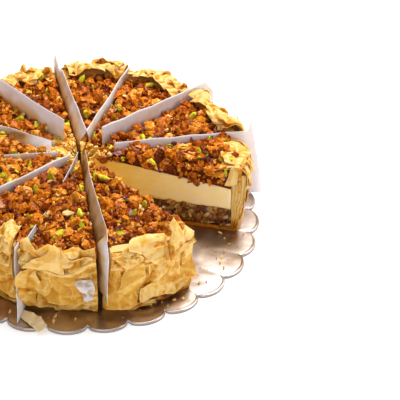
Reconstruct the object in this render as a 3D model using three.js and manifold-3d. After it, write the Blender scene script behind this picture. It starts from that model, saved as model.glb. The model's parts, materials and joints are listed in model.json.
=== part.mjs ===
// A baklava cheesecake cut into twelve portions with one taken away, standing on a scalloped silver card.
// Each portion left is four solids: a filo shell (base sheet and crinkled wall), a chopped-nut layer, a set
// cream layer and a heap of candied nuts. Sheets of greaseproof paper stand in the cuts between portions.
// Millimetres, +Z up. The origin is the middle of the card's underside, and -Y is the front.
import * as THREE from 'three';
import { mergeVertices } from 'three/addons/utils/BufferGeometryUtils.js';
import Module from 'manifold-3d';

// Cake card: a flat plate with a rim of shallow round lobes.
const CARD_RADIUS = 140;
const CARD_NOTCH_RADIUS = 132;
const CARD_LOBES = 28;
const CARD_LOBE_STEPS = 4;
const CARD_THICKNESS = 2.4;

// Cake: its middle on the card, where the knife cuts meet from there, and the heights of its layers.
const CAKE_X = 6;
const CAKE_Y = 1;
const MEET_X = -2;
const MEET_Y = 9;
const BASE_TOP = 3;
const NUTS_TOP = 19.5;
const CREAM_TOP = 45;
const TOPPING_TOP = 53.5;
const RIM_TOP = 59;

// Filo wall: upright inside, leaning out on the outside, with its upper part folded over as a collar. The
// knife has pulled its outer edges in beside each cut.
const FOOT_RADIUS = 116;
const RIM_RADIUS = 124;
const WALL_INNER_RADIUS = 112.5;
const KNIFE_PULL = 2.5;
const COLLAR_EDGE = 41;
const COLLAR_STEP = 2.6;
const CRUMPLE = 4;
const RIM_UNEVEN = 7;

// Torn ends of filo on the wall: two pointed flaps to a portion, each with its sizes between two limits, and
// one long strip. Places run from 0 at a portion's first cut to 1 at its second.
const FLAPS = { places: [0.28, 0.72], root: 13, thickness: 3, rise: [2, 6], reach: [1, 4], width: [15, 22] };
const STRIP = {
  portion: 3,
  place: 0.17,
  radius: 117,
  height: 57,
  turn: -39,
  length: 24,
  width: 6,
  thickness: 1.6,
};

// Knife cuts: their direction in degrees counter-clockwise from +X, and how far the cut stands open. The
// portion between the last cut and the first is gone.
const CUTS = [
  { angle: -12.2, parting: 1.8 },
  { angle: 11.9, parting: 1.8 },
  { angle: 41.4, parting: 2 },
  { angle: 73.2, parting: 1.8 },
  { angle: 103, parting: 2.4 },
  { angle: 131.5, parting: 1.8 },
  { angle: 157, parting: 2 },
  { angle: 191, parting: 1.8 },
  { angle: 223.5, parting: 2 },
  { angle: 253.7, parting: 3 },
  { angle: 279, parting: 4 },
  { angle: 312, parting: 1.8 },
];
const TIP_RADIUS = 2;
const GAP = 0.3;

// Paper sheets, one for each cut between two portions. Inner is the distance of the near end from where the
// cuts meet, and past is how far the outer end stands out past the wall, at its foot and its top. Foot and
// tops are heights above the card's face, tops at the near end, half-way, at the wall and at the outer end.
// Lean is how far the top edge stands off the cut at the near end and at the wall, and bow how far the outer
// end does, at its foot and its top.
const PAPER_THICKNESS = 0.6;
const WALL_REACH = 129;
const PAPERS = [
  { cut: 1, inner: 26, past: [12, 2.5], foot: 1, tops: [59, 59, 58, 68.5], lean: [0.5, 0], bow: [-4, 0] },
  { cut: 2, inner: 21, past: [9, 9], foot: 8, tops: [67, 67, 66, 52], lean: [0, -1], bow: [0, 0] },
  { cut: 3, inner: 18, past: [2, 2], foot: 5, tops: [62, 61, 62, 62], lean: [1.5, 0.5], bow: [2, 2] },
  { cut: 4, inner: 14, past: [3, 3], foot: 4, tops: [70, 66, 66, 65], lean: [-6, -3], bow: [-1, -1] },
  { cut: 5, inner: 20, past: [3, 3], foot: 5, tops: [72, 70, 69, 68], lean: [-1, -1], bow: [2, 2] },
  { cut: 6, inner: 22, past: [4, 4], foot: 6, tops: [57, 60, 61, 61], lean: [1.5, 2], bow: [-2, -2] },
  { cut: 7, inner: 17, past: [4, 4], foot: 4, tops: [56, 58, 61, 61], lean: [0.5, 1], bow: [2, 2] },
  { cut: 8, inner: 10, past: [4, 4], foot: 5, tops: [57, 58, 60, 60], lean: [-1, -2], bow: [-2, -2] },
  { cut: 9, inner: 8, past: [10, 10], foot: 1, tops: [58, 56, 60, 56], lean: [1, 0], bow: [2.4, 0.5] },
  { cut: 10, inner: 10, past: [3, 4], foot: 17, tops: [63, 63, 64, 62], lean: [0.5, 4.5], bow: [4, 4.5] },
];

// Nut pieces fused on the topping: length, width and height of a chopped chunk and of a half pistachio.
const CHUNK_SIZE = [9, 7.5, 6.5];
const PISTACHIO_SIZE = [13, 7.5, 5.5];
const NUTS_PER_PORTION = 5;
const PISTACHIO_EVERY = 2;
const NEAREST_NUT = 34;
const GOLDEN_SECTION = 0.618034;

// Bumps of the topping's sticky crumbs, its drop towards a portion's tip, and how far the nut layer's rough
// cut faces are set in.
const BUMP_HEIGHT = 4.5;
const TIP_DROP = 2.5;
const CUT_DENT = 0.8;

// How far the topping stays back from each portion's tip, where the cream is left bare.
const BARE_TIPS = [8, 4, 4, 4, 14, 16, 11, 5, 4, 4, 5];

const material = (color, roughness, metalness = 0) =>
  new THREE.MeshStandardMaterial({ color, roughness, metalness });
const SILVER = material('#c9c6c2', 0.25, 1);
const FILO = material('#e2b263', 0.6);
const NUT_LAYER = material('#7a5526', 0.5);
const CREAM = material('#ead3a6', 0.55);
const CANDIED_NUTS = material('#b0651f', 0.35);
const PAPER = material('#e9e3e2', 0.8);

const wasm = await Module();
wasm.setup();

const UP = new THREE.Vector3(0, 0, 1);
const radians = THREE.MathUtils.degToRad;
const mix = THREE.MathUtils.lerp;
const ease = THREE.MathUtils.smoothstep;

// Zigzag from -1 to 1 that repeats at each whole number: the profile of a folded sheet.
const zigzag = (t) => 4 * Math.abs(t - Math.floor(t) - 0.5) - 1;

// Repeatable random numbers from 0 to 1.
function seededRandom(seed) {
  let state = seed;
  return () => {
    state = (Math.imul(state, 1664525) + 1013904223) >>> 0;
    return state / 2 ** 32;
  };
}

// Closed skin of a bent block of ni by nj by nk cells; pointAt gives the place of each corner.
function blockGeometry(ni, nj, nk, pointAt) {
  const corners = [];
  const face = (na, nb, at) => {
    for (let a = 0; a < na; a++) {
      for (let b = 0; b < nb; b++) {
        const quad = [at(a, b), at(a + 1, b), at(a + 1, b + 1), at(a, b + 1)];
        corners.push(quad[0], quad[1], quad[2], quad[0], quad[2], quad[3]);
      }
    }
  };
  face(ni, nj, (a, b) => pointAt(a, b, nk));
  face(nj, ni, (a, b) => pointAt(b, a, 0));
  face(nj, nk, (a, b) => pointAt(ni, a, b));
  face(nk, nj, (a, b) => pointAt(0, b, a));
  face(nk, ni, (a, b) => pointAt(b, nj, a));
  face(ni, nk, (a, b) => pointAt(a, 0, b));
  return new THREE.BufferGeometry().setFromPoints(corners);
}

function toSolid(geometry) {
  const bare = geometry.clone();
  bare.deleteAttribute('normal');
  bare.deleteAttribute('uv');
  const merged = mergeVertices(bare, 1e-4);
  return new wasm.Manifold(
    new wasm.Mesh({
      numProp: 3,
      vertProperties: merged.attributes.position.array,
      triVerts: new Uint32Array(merged.index.array),
    })
  );
}

function toGeometry(solid) {
  const mesh = solid.getMesh();
  const geometry = new THREE.BufferGeometry();
  geometry.setAttribute('position', new THREE.BufferAttribute(mesh.vertProperties, 3));
  geometry.setIndex(new THREE.BufferAttribute(mesh.triVerts, 1));
  return geometry.toNonIndexed();
}

function named(name, geometry, finish) {
  const mesh = new THREE.Mesh(geometry, finish);
  mesh.name = name;
  return mesh;
}

// A point given by its distance from a portion's tip, its angle from the portion's middle line and its
// height.
const polar = (radius, angle, height) =>
  new THREE.Vector3(radius * Math.cos(angle), radius * Math.sin(angle), height);

// Cake card: an extruded outline of arcs that bulge between evenly spaced notches.
function cakeCard() {
  const outline = new THREE.Shape();
  const steps = CARD_LOBES * CARD_LOBE_STEPS;
  for (let n = 0; n < steps; n++) {
    const along = (n % CARD_LOBE_STEPS) / CARD_LOBE_STEPS;
    const bulge = Math.sqrt(Math.sin(Math.PI * along));
    const radius = mix(CARD_NOTCH_RADIUS, CARD_RADIUS, bulge);
    const angle = (2 * Math.PI * (n - CARD_LOBE_STEPS / 2)) / steps;
    const [x, y] = [radius * Math.cos(angle), radius * Math.sin(angle)];
    if (n) outline.lineTo(x, y);
    else outline.moveTo(x, y);
  }
  const plate = new THREE.ExtrudeGeometry(outline, { depth: CARD_THICKNESS, bevelEnabled: false });
  return named('cake_card', plate, SILVER);
}

// A radius round the cake's middle as a distance from where the cuts meet.
const fromMeeting = (radius, turn) =>
  radius - MEET_X * Math.cos(2 * Math.PI * turn) - MEET_Y * Math.sin(2 * Math.PI * turn);

// Height of the collar's ragged lower edge, with 13 broad and 29 fine points round the cake, and the wall's
// faces.
const collarEdge = (turn) => COLLAR_EDGE + 5 * zigzag(13 * turn + 0.35) + 3 * zigzag(29 * turn + 0.6);
const innerWall = (portion, turn) => fromMeeting(WALL_INNER_RADIUS, turn) - portion.slide;

function outerWall(portion, turn, height) {
  const lean = mix(FOOT_RADIUS, RIM_RADIUS - COLLAR_STEP, (height / RIM_TOP) ** 0.8);
  const collar = COLLAR_STEP * ease(height, collarEdge(turn) - 3, collarEdge(turn) + 3);
  return fromMeeting(lean + collar, turn) - portion.slide;
}

// Angle and turn of a place across a portion, given from 0 at its first cut to 1 at its second.
function across(portion, share) {
  const angle = mix(-portion.half, portion.half, share);
  return [angle, (portion.middle + angle) / (2 * Math.PI)];
}

// Filo shell: a base sheet that runs out from the tip and turns up into the wall, as one bent block. The
// wall's outer face and rim are crumpled, each corner by its own amount.
const BASE_STEPS = 2;
const WALL_STEPS = 4;
const ARC_STEPS = 7;
function filoShell(portion, random) {
  const rim = Array.from({ length: ARC_STEPS + 1 }, () => RIM_TOP + RIM_UNEVEN * (random() - 0.5));
  const crumple = Array.from({ length: WALL_STEPS * (ARC_STEPS + 1) }, () => CRUMPLE * (random() - 0.5));
  const pointAt = (i, j, k) => {
    const [angle, turn] = across(portion, j / ARC_STEPS);
    if (i <= BASE_STEPS) {
      const end = k ? innerWall(portion, turn) : outerWall(portion, turn, 0);
      return polar(mix(TIP_RADIUS, end, i / BASE_STEPS), angle, k ? BASE_TOP : 0);
    }
    const row = i - BASE_STEPS;
    if (k) return polar(innerWall(portion, turn), angle, mix(BASE_TOP, rim[j] - 2, row / WALL_STEPS));
    const height = (rim[j] * row) / WALL_STEPS;
    const pull = (j % ARC_STEPS ? 0 : KNIFE_PULL * row) / WALL_STEPS;
    const radius = outerWall(portion, turn, height) + crumple[row * (ARC_STEPS + 1) - 1 - j] - pull;
    return polar(radius, angle, height);
  };
  return blockGeometry(BASE_STEPS + WALL_STEPS, ARC_STEPS, 1, pointAt);
}

// A torn flap of filo that lies on the wall and stands up and out past its rim, narrowing to its tip.
function rimFlap(portion, place, random) {
  const [angle, turn] = across(portion, place);
  const limits = [FLAPS.rise, FLAPS.reach, FLAPS.width];
  const [rise, reach, width] = limits.map(([least, most]) => mix(least, most, random()));
  const root = RIM_TOP - FLAPS.root;
  const radius = outerWall(portion, turn, root) - FLAPS.thickness;
  const pointAt = (i, j, k) => {
    const up = j / 2;
    const side = (i - 0.5) * width * (1 - 0.7 * up * up);
    const out = radius + reach * up + FLAPS.thickness * k;
    return polar(out, angle + side / radius, mix(root, RIM_TOP + rise, up) + k);
  };
  return blockGeometry(1, 2, 1, pointAt);
}

// A long torn strip of filo that sticks out sideways from the rim, with a slight arch.
function rimStrip(portion) {
  const [angle] = across(portion, STRIP.place);
  const pointAt = (i, j, k) => {
    const taper = 1 - (0.4 * i) / 3;
    const arch = Math.sin((Math.PI * i) / 3);
    return new THREE.Vector3(
      (i / 3) * STRIP.length,
      (j - 0.5) * STRIP.width * taper,
      STRIP.height + arch + k * STRIP.thickness
    );
  };
  const strip = blockGeometry(3, 1, 1, pointAt);
  const root = polar(STRIP.radius - portion.slide, angle, 0);
  return strip.rotateZ(radians(STRIP.turn)).translate(root.x, root.y, 0);
}

function crust(portion) {
  const random = seededRandom(100 + portion.number);
  let solid = toSolid(filoShell(portion, random));
  for (const place of FLAPS.places) {
    solid = solid.add(toSolid(rimFlap(portion, place + 0.1 * (random() - 0.5), random)));
  }
  if (portion.number === STRIP.portion) solid = solid.add(toSolid(rimStrip(portion)));
  return named(`crust_${portion.label}`, toGeometry(solid), FILO);
}

// Chopped nuts bound with syrup, rough where the knife went through.
function nutLayer(portion) {
  const [ni, nj, nk] = [6, 2, 2];
  const random = seededRandom(200 + portion.number);
  const rough = Array.from({ length: (ni + 1) * (nk + 1) * 2 }, () => random() - 0.5);
  const pointAt = (i, j, k) => {
    const [angle, turn] = across(portion, j / nj);
    const height = mix(BASE_TOP + GAP, NUTS_TOP, k / nk);
    const radius = mix(TIP_RADIUS + 4, innerWall(portion, turn) - GAP, i / ni);
    const cutSide = j === 0 ? 1 : j === nj ? -1 : 0;
    const dent = CUT_DENT + rough[(i * (nk + 1) + k) * 2 + (cutSide > 0 ? 0 : 1)];
    return polar(radius, angle + (cutSide * dent) / radius, height);
  };
  return named(`nut_layer_${portion.label}`, blockGeometry(ni, nj, nk, pointAt), NUT_LAYER);
}

// Set cream, smooth on the cut faces.
function creamLayer(portion) {
  const arcSteps = 4;
  const pointAt = (i, j, k) => {
    const [angle, turn] = across(portion, j / arcSteps);
    const height = k ? CREAM_TOP : NUTS_TOP + GAP;
    return polar(i ? innerWall(portion, turn) - GAP : TIP_RADIUS, angle, height);
  };
  return named(`cream_${portion.label}`, blockGeometry(1, arcSteps, 1, pointAt), CREAM);
}

// Chopped nut or half pistachio: a rounded lump with few sides.
function nutPiece(size, random) {
  const lump = new THREE.IcosahedronGeometry(0.5, 0);
  const uneven = 0.8 + 0.3 * random();
  lump.scale(size[0] * uneven, size[1], size[2]);
  lump.rotateX(random() - 0.5);
  lump.rotateY(random() - 0.5);
  lump.rotateZ(random() * Math.PI);
  return lump;
}

// Topping: a sticky rubble of crumbs, with the larger nuts fused on it.
function topping(portion) {
  const [ni, nj] = [11, 7];
  const random = seededRandom(300 + portion.number);
  const bumps = Array.from({ length: (ni + 1) * (nj + 1) }, () => random() - 0.5);
  const pointAt = (i, j, k) => {
    const [angle, turn] = across(portion, j / nj);
    const share = i / ni;
    const crown = TOPPING_TOP - TIP_DROP * (1 - ease(share, 0, 0.2)) + BUMP_HEIGHT * bumps[i * (nj + 1) + j];
    const radius = mix(TIP_RADIUS + BARE_TIPS[portion.number - 1], innerWall(portion, turn) - GAP, share);
    return polar(radius, angle, k ? crown : CREAM_TOP + GAP);
  };
  let solid = toSolid(blockGeometry(ni, nj, 1, pointAt));
  const outer = innerWall(portion, portion.middle / (2 * Math.PI));
  for (let n = 0; n < NUTS_PER_PORTION; n++) {
    // Even spread over the sector: the radius by area, the angle by the golden section.
    const size = n % PISTACHIO_EVERY ? CHUNK_SIZE : PISTACHIO_SIZE;
    const margin = 0.62 * size[0];
    const radius = Math.sqrt(mix(NEAREST_NUT ** 2, (outer - margin) ** 2, (n + 0.5) / NUTS_PER_PORTION));
    const room = portion.half - Math.asin(margin / radius);
    const share = (n * GOLDEN_SECTION + 0.1 * portion.number) % 1;
    const place = polar(radius, room * (2 * share - 1), TOPPING_TOP + 0.5 + random());
    const piece = nutPiece(size, random);
    piece.translate(place.x, place.y, place.z);
    solid = solid.add(toSolid(piece));
  }
  return named(`topping_${portion.label}`, toGeometry(solid), CANDIED_NUTS);
}

// One portion: its four layers in a group that is turned to its place. Each cut's parting moves the tip along
// the portion's middle line and sideways, so that both cut faces stand clear of the cut by half of it.
function makePortion(number) {
  const [first, second] = [CUTS[number - 1], CUTS[number]];
  const middle = radians(first.angle + second.angle) / 2;
  const half = radians(second.angle - first.angle) / 2;
  const slide = (first.parting + second.parting) / 4 / Math.sin(half);
  const shift = (first.parting - second.parting) / 4 / Math.cos(half);
  const portion = { number, label: String(number).padStart(2, '0'), middle, half, slide };
  const group = new THREE.Group();
  group.add(crust(portion), nutLayer(portion), creamLayer(portion), topping(portion));
  group.position.set(slide, shift, 0).applyAxisAngle(UP, middle);
  group.rotation.z = middle;
  return group;
}

// Greaseproof sheet: flat inside the cut, leaning where it rises above the cake, and bowed past the wall.
function paperSheet(sheet) {
  const turn = CUTS[sheet.cut].angle / 360;
  const start = fromMeeting(WALL_INNER_RADIUS, turn) - 6;
  const reach = fromMeeting(WALL_REACH, turn);
  const columns = [0, 1 / 3, 2 / 3, 1].map((share) => mix(sheet.inner, start, share));
  columns.push(reach, reach);
  const ni = columns.length - 1;
  const [near, half, wall, end] = sheet.tops;
  const tops = [near, half, half, mix(half, wall, 0.5), wall, end];
  const pointAt = (i, j, k) => {
    const held = Math.min(columns[i] < start ? TOPPING_TOP + 2 : RIM_TOP + 4, tops[i] - 1);
    const rows = [sheet.foot, mix(sheet.foot, held, 0.5), held, tops[i]];
    const slope = mix(...sheet.lean, ease(columns[i], sheet.inner, reach));
    const lean = k < 3 ? 0 : slope * ease(tops[i], held, held + 8);
    const past = i < ni ? 0 : mix(...sheet.past, k / 3);
    const bow = i < ni ? 0 : mix(...sheet.bow, k / 3);
    return new THREE.Vector3(columns[i] + past, lean + bow + (j - 0.5) * PAPER_THICKNESS, rows[k]);
  };
  const label = String(sheet.cut).padStart(2, '0');
  const paper = named(`paper_${label}`, blockGeometry(ni, 1, 3, pointAt), PAPER);
  paper.rotation.z = radians(CUTS[sheet.cut].angle);
  return paper;
}

// A torn scrap of filo that has dropped on the card, curling up at its ends.
const SCRAP = { x: -22, y: -127, turn: -50, length: 25, width: 9, thickness: 0.9 };
function filoScrap() {
  const [ni, nj] = [5, 2];
  const pointAt = (i, j, k) => {
    const along = (i / ni - 0.5) * SCRAP.length;
    const sideways = (j / nj - 0.5) * SCRAP.width * (1 - 0.25 * zigzag(i * 0.4));
    const lift = GAP + 1.6 * ((2 * i) / ni - 1) ** 2 + (j === 1 ? 0.8 : 0);
    return new THREE.Vector3(along, sideways, lift + k * SCRAP.thickness);
  };
  const scrap = named('filo_scrap', blockGeometry(ni, nj, 1, pointAt), FILO);
  scrap.position.set(SCRAP.x, SCRAP.y, CARD_THICKNESS);
  scrap.rotation.z = radians(SCRAP.turn);
  return scrap;
}

// The cake's own frame has its origin where the cuts meet, at the card's face.
const cake = new THREE.Group();
cake.position.set(CAKE_X + MEET_X, CAKE_Y + MEET_Y, CARD_THICKNESS + GAP);
for (let number = 1; number < CUTS.length; number++) cake.add(makePortion(number));
for (const sheet of PAPERS) cake.add(paperSheet(sheet));

const cakeOnCard = new THREE.Group();
cakeOnCard.add(cakeCard(), cake, filoScrap());

export default cakeOnCard;
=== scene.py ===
"""A baklava cheesecake on its silver card: a crinkled filo shell, a nut base, cream and candied nuts, cut
into portions round one open gap, with greaseproof papers standing in the cuts. Lengths are in millimetres,
and the meshes are made in metres, +Z up."""

import collections
import itertools
import json
import math

import bmesh
import bpy
import numpy as np
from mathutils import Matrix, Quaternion, Vector

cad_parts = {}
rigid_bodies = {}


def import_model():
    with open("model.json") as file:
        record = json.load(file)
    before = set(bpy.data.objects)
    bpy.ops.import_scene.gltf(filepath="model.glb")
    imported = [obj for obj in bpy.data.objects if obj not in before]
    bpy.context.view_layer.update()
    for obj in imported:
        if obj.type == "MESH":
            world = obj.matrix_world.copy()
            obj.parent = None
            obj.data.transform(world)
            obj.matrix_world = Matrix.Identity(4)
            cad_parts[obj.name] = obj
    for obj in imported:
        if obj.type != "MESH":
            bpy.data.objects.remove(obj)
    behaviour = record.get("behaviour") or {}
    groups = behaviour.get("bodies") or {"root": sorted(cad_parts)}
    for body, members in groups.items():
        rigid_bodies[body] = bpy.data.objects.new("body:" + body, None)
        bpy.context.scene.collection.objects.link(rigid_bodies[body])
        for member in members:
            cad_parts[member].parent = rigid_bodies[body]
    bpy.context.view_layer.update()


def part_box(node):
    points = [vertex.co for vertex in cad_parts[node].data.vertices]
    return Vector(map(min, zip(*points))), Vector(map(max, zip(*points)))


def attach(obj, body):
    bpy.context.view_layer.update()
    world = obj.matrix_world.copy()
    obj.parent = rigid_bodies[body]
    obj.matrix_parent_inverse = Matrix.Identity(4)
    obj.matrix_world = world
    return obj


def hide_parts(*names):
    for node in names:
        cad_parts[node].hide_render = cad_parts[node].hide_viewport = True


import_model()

# The view. The camera stands where the photograph's camera stood, worked out from the lobes of the card and
# the ring of cuts: a long lens that looks down by about 36 degrees.
MM = 0.001
CARD_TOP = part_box("cake_card")[1].z / MM
CAKE_MIDDLE = (6, 1)
CAMERA_FROM_CAKE = Vector((88.4, -1551.9, 1130.1))
CAMERA_PITCH = math.radians(35.63)
CAMERA_ROLL = math.radians(0.88)
camera_data = bpy.data.cameras.new("camera")
camera_data.lens = 226.8
camera_data.sensor_width = 36
camera = bpy.data.objects.new("camera", camera_data)
bpy.context.scene.collection.objects.link(camera)
camera.location = (Vector((*CAKE_MIDDLE, CARD_TOP)) + CAMERA_FROM_CAKE) * MM
camera.rotation_mode = "QUATERNION"
forward = Vector((0, math.cos(CAMERA_PITCH), -math.sin(CAMERA_PITCH)))
camera.rotation_quaternion = forward.to_track_quat("-Z", "Y") @ Quaternion((0, 0, 1), CAMERA_ROLL)
bpy.context.scene.camera = camera


# The studio. A plain white floor under white softboxes: the brightest hangs over the back of the cake, so
# that top edges shine and what faces the viewer lies in soft shade.
def linear(colour):
    """A hex sRGB colour as the linear values that a shader takes."""
    parts = [int(colour[n : n + 2], 16) / 255 for n in (1, 3, 5)]
    return [c / 12.92 if c <= 0.04045 else ((c + 0.055) / 1.055) ** 2.4 for c in parts] + [1.0]


def add_node(tree, kind, inputs=None, **settings):
    """Adds a node. Settings are its own properties, and an input is a value or another node's socket."""
    node = tree.nodes.new(kind)
    for name, value in settings.items():
        if name == "stops":
            elements = node.color_ramp.elements
            while len(elements) < len(value):
                elements.new(0.5)
            for stop, (place, colour) in zip(elements, sorted(value)):
                stop.position = place
                stop.color = linear(colour)
        else:
            setattr(node, name, value)
    for name, value in (inputs or {}).items():
        if isinstance(value, bpy.types.NodeSocket):
            tree.links.new(value, node.inputs[name])
        else:
            node.inputs[name].default_value = value
    return node


def noise(tree, scale, detail, space="Object"):
    """Noise in a space of the object: Object is in metres, and Generated runs from 0 to 1 over its bounds."""
    place = add_node(tree, "ShaderNodeTexCoord")
    inputs = {"Vector": place.outputs[space], "Scale": scale, "Detail": detail}
    return add_node(tree, "ShaderNodeTexNoise", inputs).outputs[0]


def ramp(tree, share, stops):
    """The colour that a share from 0 to 1 has among the stops."""
    return add_node(tree, "ShaderNodeValToRGB", {0: share}, stops=stops).outputs[0]


def new_material(name, **inputs):
    """A material with one Principled shader, whose inputs are given by name, and its node tree."""
    material = bpy.data.materials.new(name)
    material.use_nodes = True
    shader = material.node_tree.nodes["Principled BSDF"]
    for socket, value in inputs.items():
        shader.inputs[socket.replace("_", " ")].default_value = value
    return material, material.node_tree, shader


def wire(tree, shader, **outputs):
    """Links outputs to the shader's inputs of those names."""
    for socket, output in outputs.items():
        tree.links.new(output, shader.inputs[socket.replace("_", " ")])


def new_object(name, points, faces, material, smooth=True, attributes=None):
    """A mesh object from points in millimetres, with its place in its mesh."""
    mesh = bpy.data.meshes.new(name)
    corners = faces.tolist() if isinstance(faces, np.ndarray) else faces
    mesh.from_pydata((np.asarray(points).reshape(-1, 3) * MM).tolist(), [], corners)
    mesh.materials.append(material)
    mesh.polygons.foreach_set("use_smooth", [smooth] * len(mesh.polygons))
    for attribute, values in (attributes or {}).items():
        mesh.attributes.new(attribute, "FLOAT", "POINT").data.foreach_set("value", np.ravel(values))
    mesh.update()
    thing = bpy.data.objects.new(name, mesh)
    bpy.context.scene.collection.objects.link(thing)
    return thing


floor_material, tree, shader = new_material("backlit acrylic table", Roughness=0.9, Emission_Strength=0.4)
tone = ramp(tree, noise(tree, scale=6.0, detail=2.0, space="Generated"), [(0.3, "#F4F4F4"), (0.7, "#F8F8F8")])
wire(tree, shader, Base_Color=tone, Emission_Color=tone)
FLOOR_REACH = 3000
floor_corners = [(x * FLOOR_REACH, y * FLOOR_REACH, 0) for x, y in ((-1, -1), (1, -1), (1, 1), (-1, 1))]
new_object("floor", floor_corners, [(0, 1, 2, 3)], floor_material)

SOFTBOXES = [
    # Place and what it points at, then width and height in metres and power in watts.
    ("back softbox", (350, 500, 1200), (0, 0, 30), 0.5, 0.5, 27),
    ("top softbox", (-300, -100, 1500), (0, 0, 0), 1.4, 1.4, 6.5),
    ("right softbox", (1300, -350, 600), (0, 0, 30), 0.6, 0.6, 4),
    ("front softbox", (-100, -1500, 500), (0, 0, 30), 1.2, 0.8, 4.5),
]
for name, place, aim, width, height, power in SOFTBOXES:
    light = bpy.data.lights.new(name, "AREA")
    light.shape = "RECTANGLE"
    light.size = width
    light.size_y = height
    light.energy = power
    lamp = bpy.data.objects.new(name, light)
    lamp.location = Vector(place) * MM
    lamp.rotation_euler = (Vector(aim) - Vector(place)).to_track_quat("-Z", "Y").to_euler()
    bpy.context.scene.collection.objects.link(lamp)
world = bpy.data.worlds.new("white studio")
world.use_nodes = True
world.node_tree.nodes["Background"].inputs["Color"].default_value = linear("#F8F9FF")
world.node_tree.nodes["Background"].inputs["Strength"].default_value = 0.3
bpy.context.scene.world = world
bpy.context.scene.view_settings.view_transform = "Standard"


# The cake card: board with a scalloped edge, laminated with silver foil. Its rim is pressed up in a bead that
# follows the lobes, and the foil is turned down over the board's edge.
CARD_RADIUS = 140
CARD_NOTCH_RADIUS = 132
CARD_LOBES = 28
LOBE_STEPS = 14
CARD_STEPS = CARD_LOBES * LOBE_STEPS
# How far in from the edge each line of the card's skin lies, and its height.
CARD_PROFILE = [
    (26, CARD_TOP), (3.4, CARD_TOP), (2.6, CARD_TOP - 0.1), (2.0, CARD_TOP + 0.05), (1.5, CARD_TOP + 0.4),
    (0.9, CARD_TOP + 0.45), (0.4, CARD_TOP + 0.1), (0.15, CARD_TOP - 0.5), (0, 1.2), (0.1, 0.5), (0.5, 0),
    (26, 0),
]
# The foil ends at this line of the skin, under the bead, and the grey board shows from there on.
BOARD_LINE = 7


def ring_of_lobes(inset, height):
    """One closed line round the card, at a distance in from its edge."""
    step = np.arange(CARD_STEPS)
    bulge = np.sqrt(np.sin(np.pi * ((step % LOBE_STEPS) / LOBE_STEPS)))
    radius = CARD_NOTCH_RADIUS + (CARD_RADIUS - CARD_NOTCH_RADIUS) * bulge - inset
    angle = 2 * np.pi * (step - LOBE_STEPS / 2) / CARD_STEPS
    return np.stack([radius * np.cos(angle), radius * np.sin(angle), np.full(CARD_STEPS, height)], axis=-1)


def bump(tree, height, strength, distance, under=None, **settings):
    """The normal of a surface with a height on it, up to the distance in metres, over another such normal."""
    inputs = {"Height": height, "Strength": strength, "Distance": distance}
    if under:
        inputs["Normal"] = under
    return add_node(tree, "ShaderNodeBump", inputs, **settings).outputs[0]


foil, tree, shader = new_material("silver foil on board", Metallic=1.0)
# Handling dulls the foil in soft patches about 30 mm across.
dull = noise(tree, scale=50.0, detail=5.0)
tone = ramp(tree, dull, [(0.35, "#B2A090"), (0.65, "#D2C6BE")])
gloss = add_node(tree, "ShaderNodeMapRange", {"Value": dull, "To Min": 0.26, "To Max": 0.42}).outputs[0]
# The lamination leaves a dimple every 1.5 mm or so, on waves about 25 mm long.
dimples = bump(tree, noise(tree, scale=650.0, detail=1.0), strength=0.3, distance=0.0002)
waves = bump(tree, noise(tree, scale=60.0, detail=2.0), strength=0.3, distance=0.002, under=dimples)
wire(tree, shader, Base_Color=tone, Roughness=gloss, Normal=waves)

# Grey pulp board, cut with a shaped die, so that its edge is rough.
board, tree, shader = new_material("grey board", Roughness=0.8)
fibre = noise(tree, scale=900.0, detail=3.0, space="Generated")
wire(tree, shader, Base_Color=ramp(tree, fibre, [(0.3, "#7D726B"), (0.7, "#A39890")]))

rings = [ring_of_lobes(*line) for line in CARD_PROFILE]
card_points = np.concatenate(rings + [[(0, 0, CARD_TOP), (0, 0, 0)]])
top_middle, bottom_middle = len(card_points) - 2, len(card_points) - 1
underside = (len(rings) - 1) * CARD_STEPS
card_faces = []
for ring, n in itertools.product(range(len(rings) - 1), range(CARD_STEPS)):
    here, after = ring * CARD_STEPS + n, ring * CARD_STEPS + (n + 1) % CARD_STEPS
    card_faces.append([here, here + CARD_STEPS, after + CARD_STEPS, after])
for n in range(CARD_STEPS):
    after = (n + 1) % CARD_STEPS
    card_faces.append([top_middle, n, after])
    card_faces.append([bottom_middle, underside + after, underside + n])
silver_card = new_object("silver_card", card_points, card_faces, foil)
silver_card.data.materials.append(board)
board_lines = range(BOARD_LINE, len(rings) - 1)
of_board = [int(n // CARD_STEPS in board_lines) for n in range(len(card_faces))]
silver_card.data.polygons.foreach_set("material_index", of_board)
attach(silver_card, "root")
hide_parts("cake_card")


# The cuts. A long knife parted the cake towards one point, a little behind its middle, and each portion then
# stands off its two cuts by half their opening. Portions 1 and 11 face the open gap.
CAKE_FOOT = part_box("crust_01")[0].z / MM
MEET_FROM_MIDDLE = np.array([-2, 9])
MEET = np.array(CAKE_MIDDLE) + MEET_FROM_MIDDLE
# Direction in degrees and opening of each cut.
CUTS = [
    (-12.2, 1.8), (11.9, 1.8), (41.4, 2), (73.2, 1.8), (103, 2.4), (131.5, 1.8),
    (157, 2), (191, 1.8), (223.5, 2), (253.7, 3), (279, 4), (312, 1.8),
]
TIP_RADIUS = 2


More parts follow.
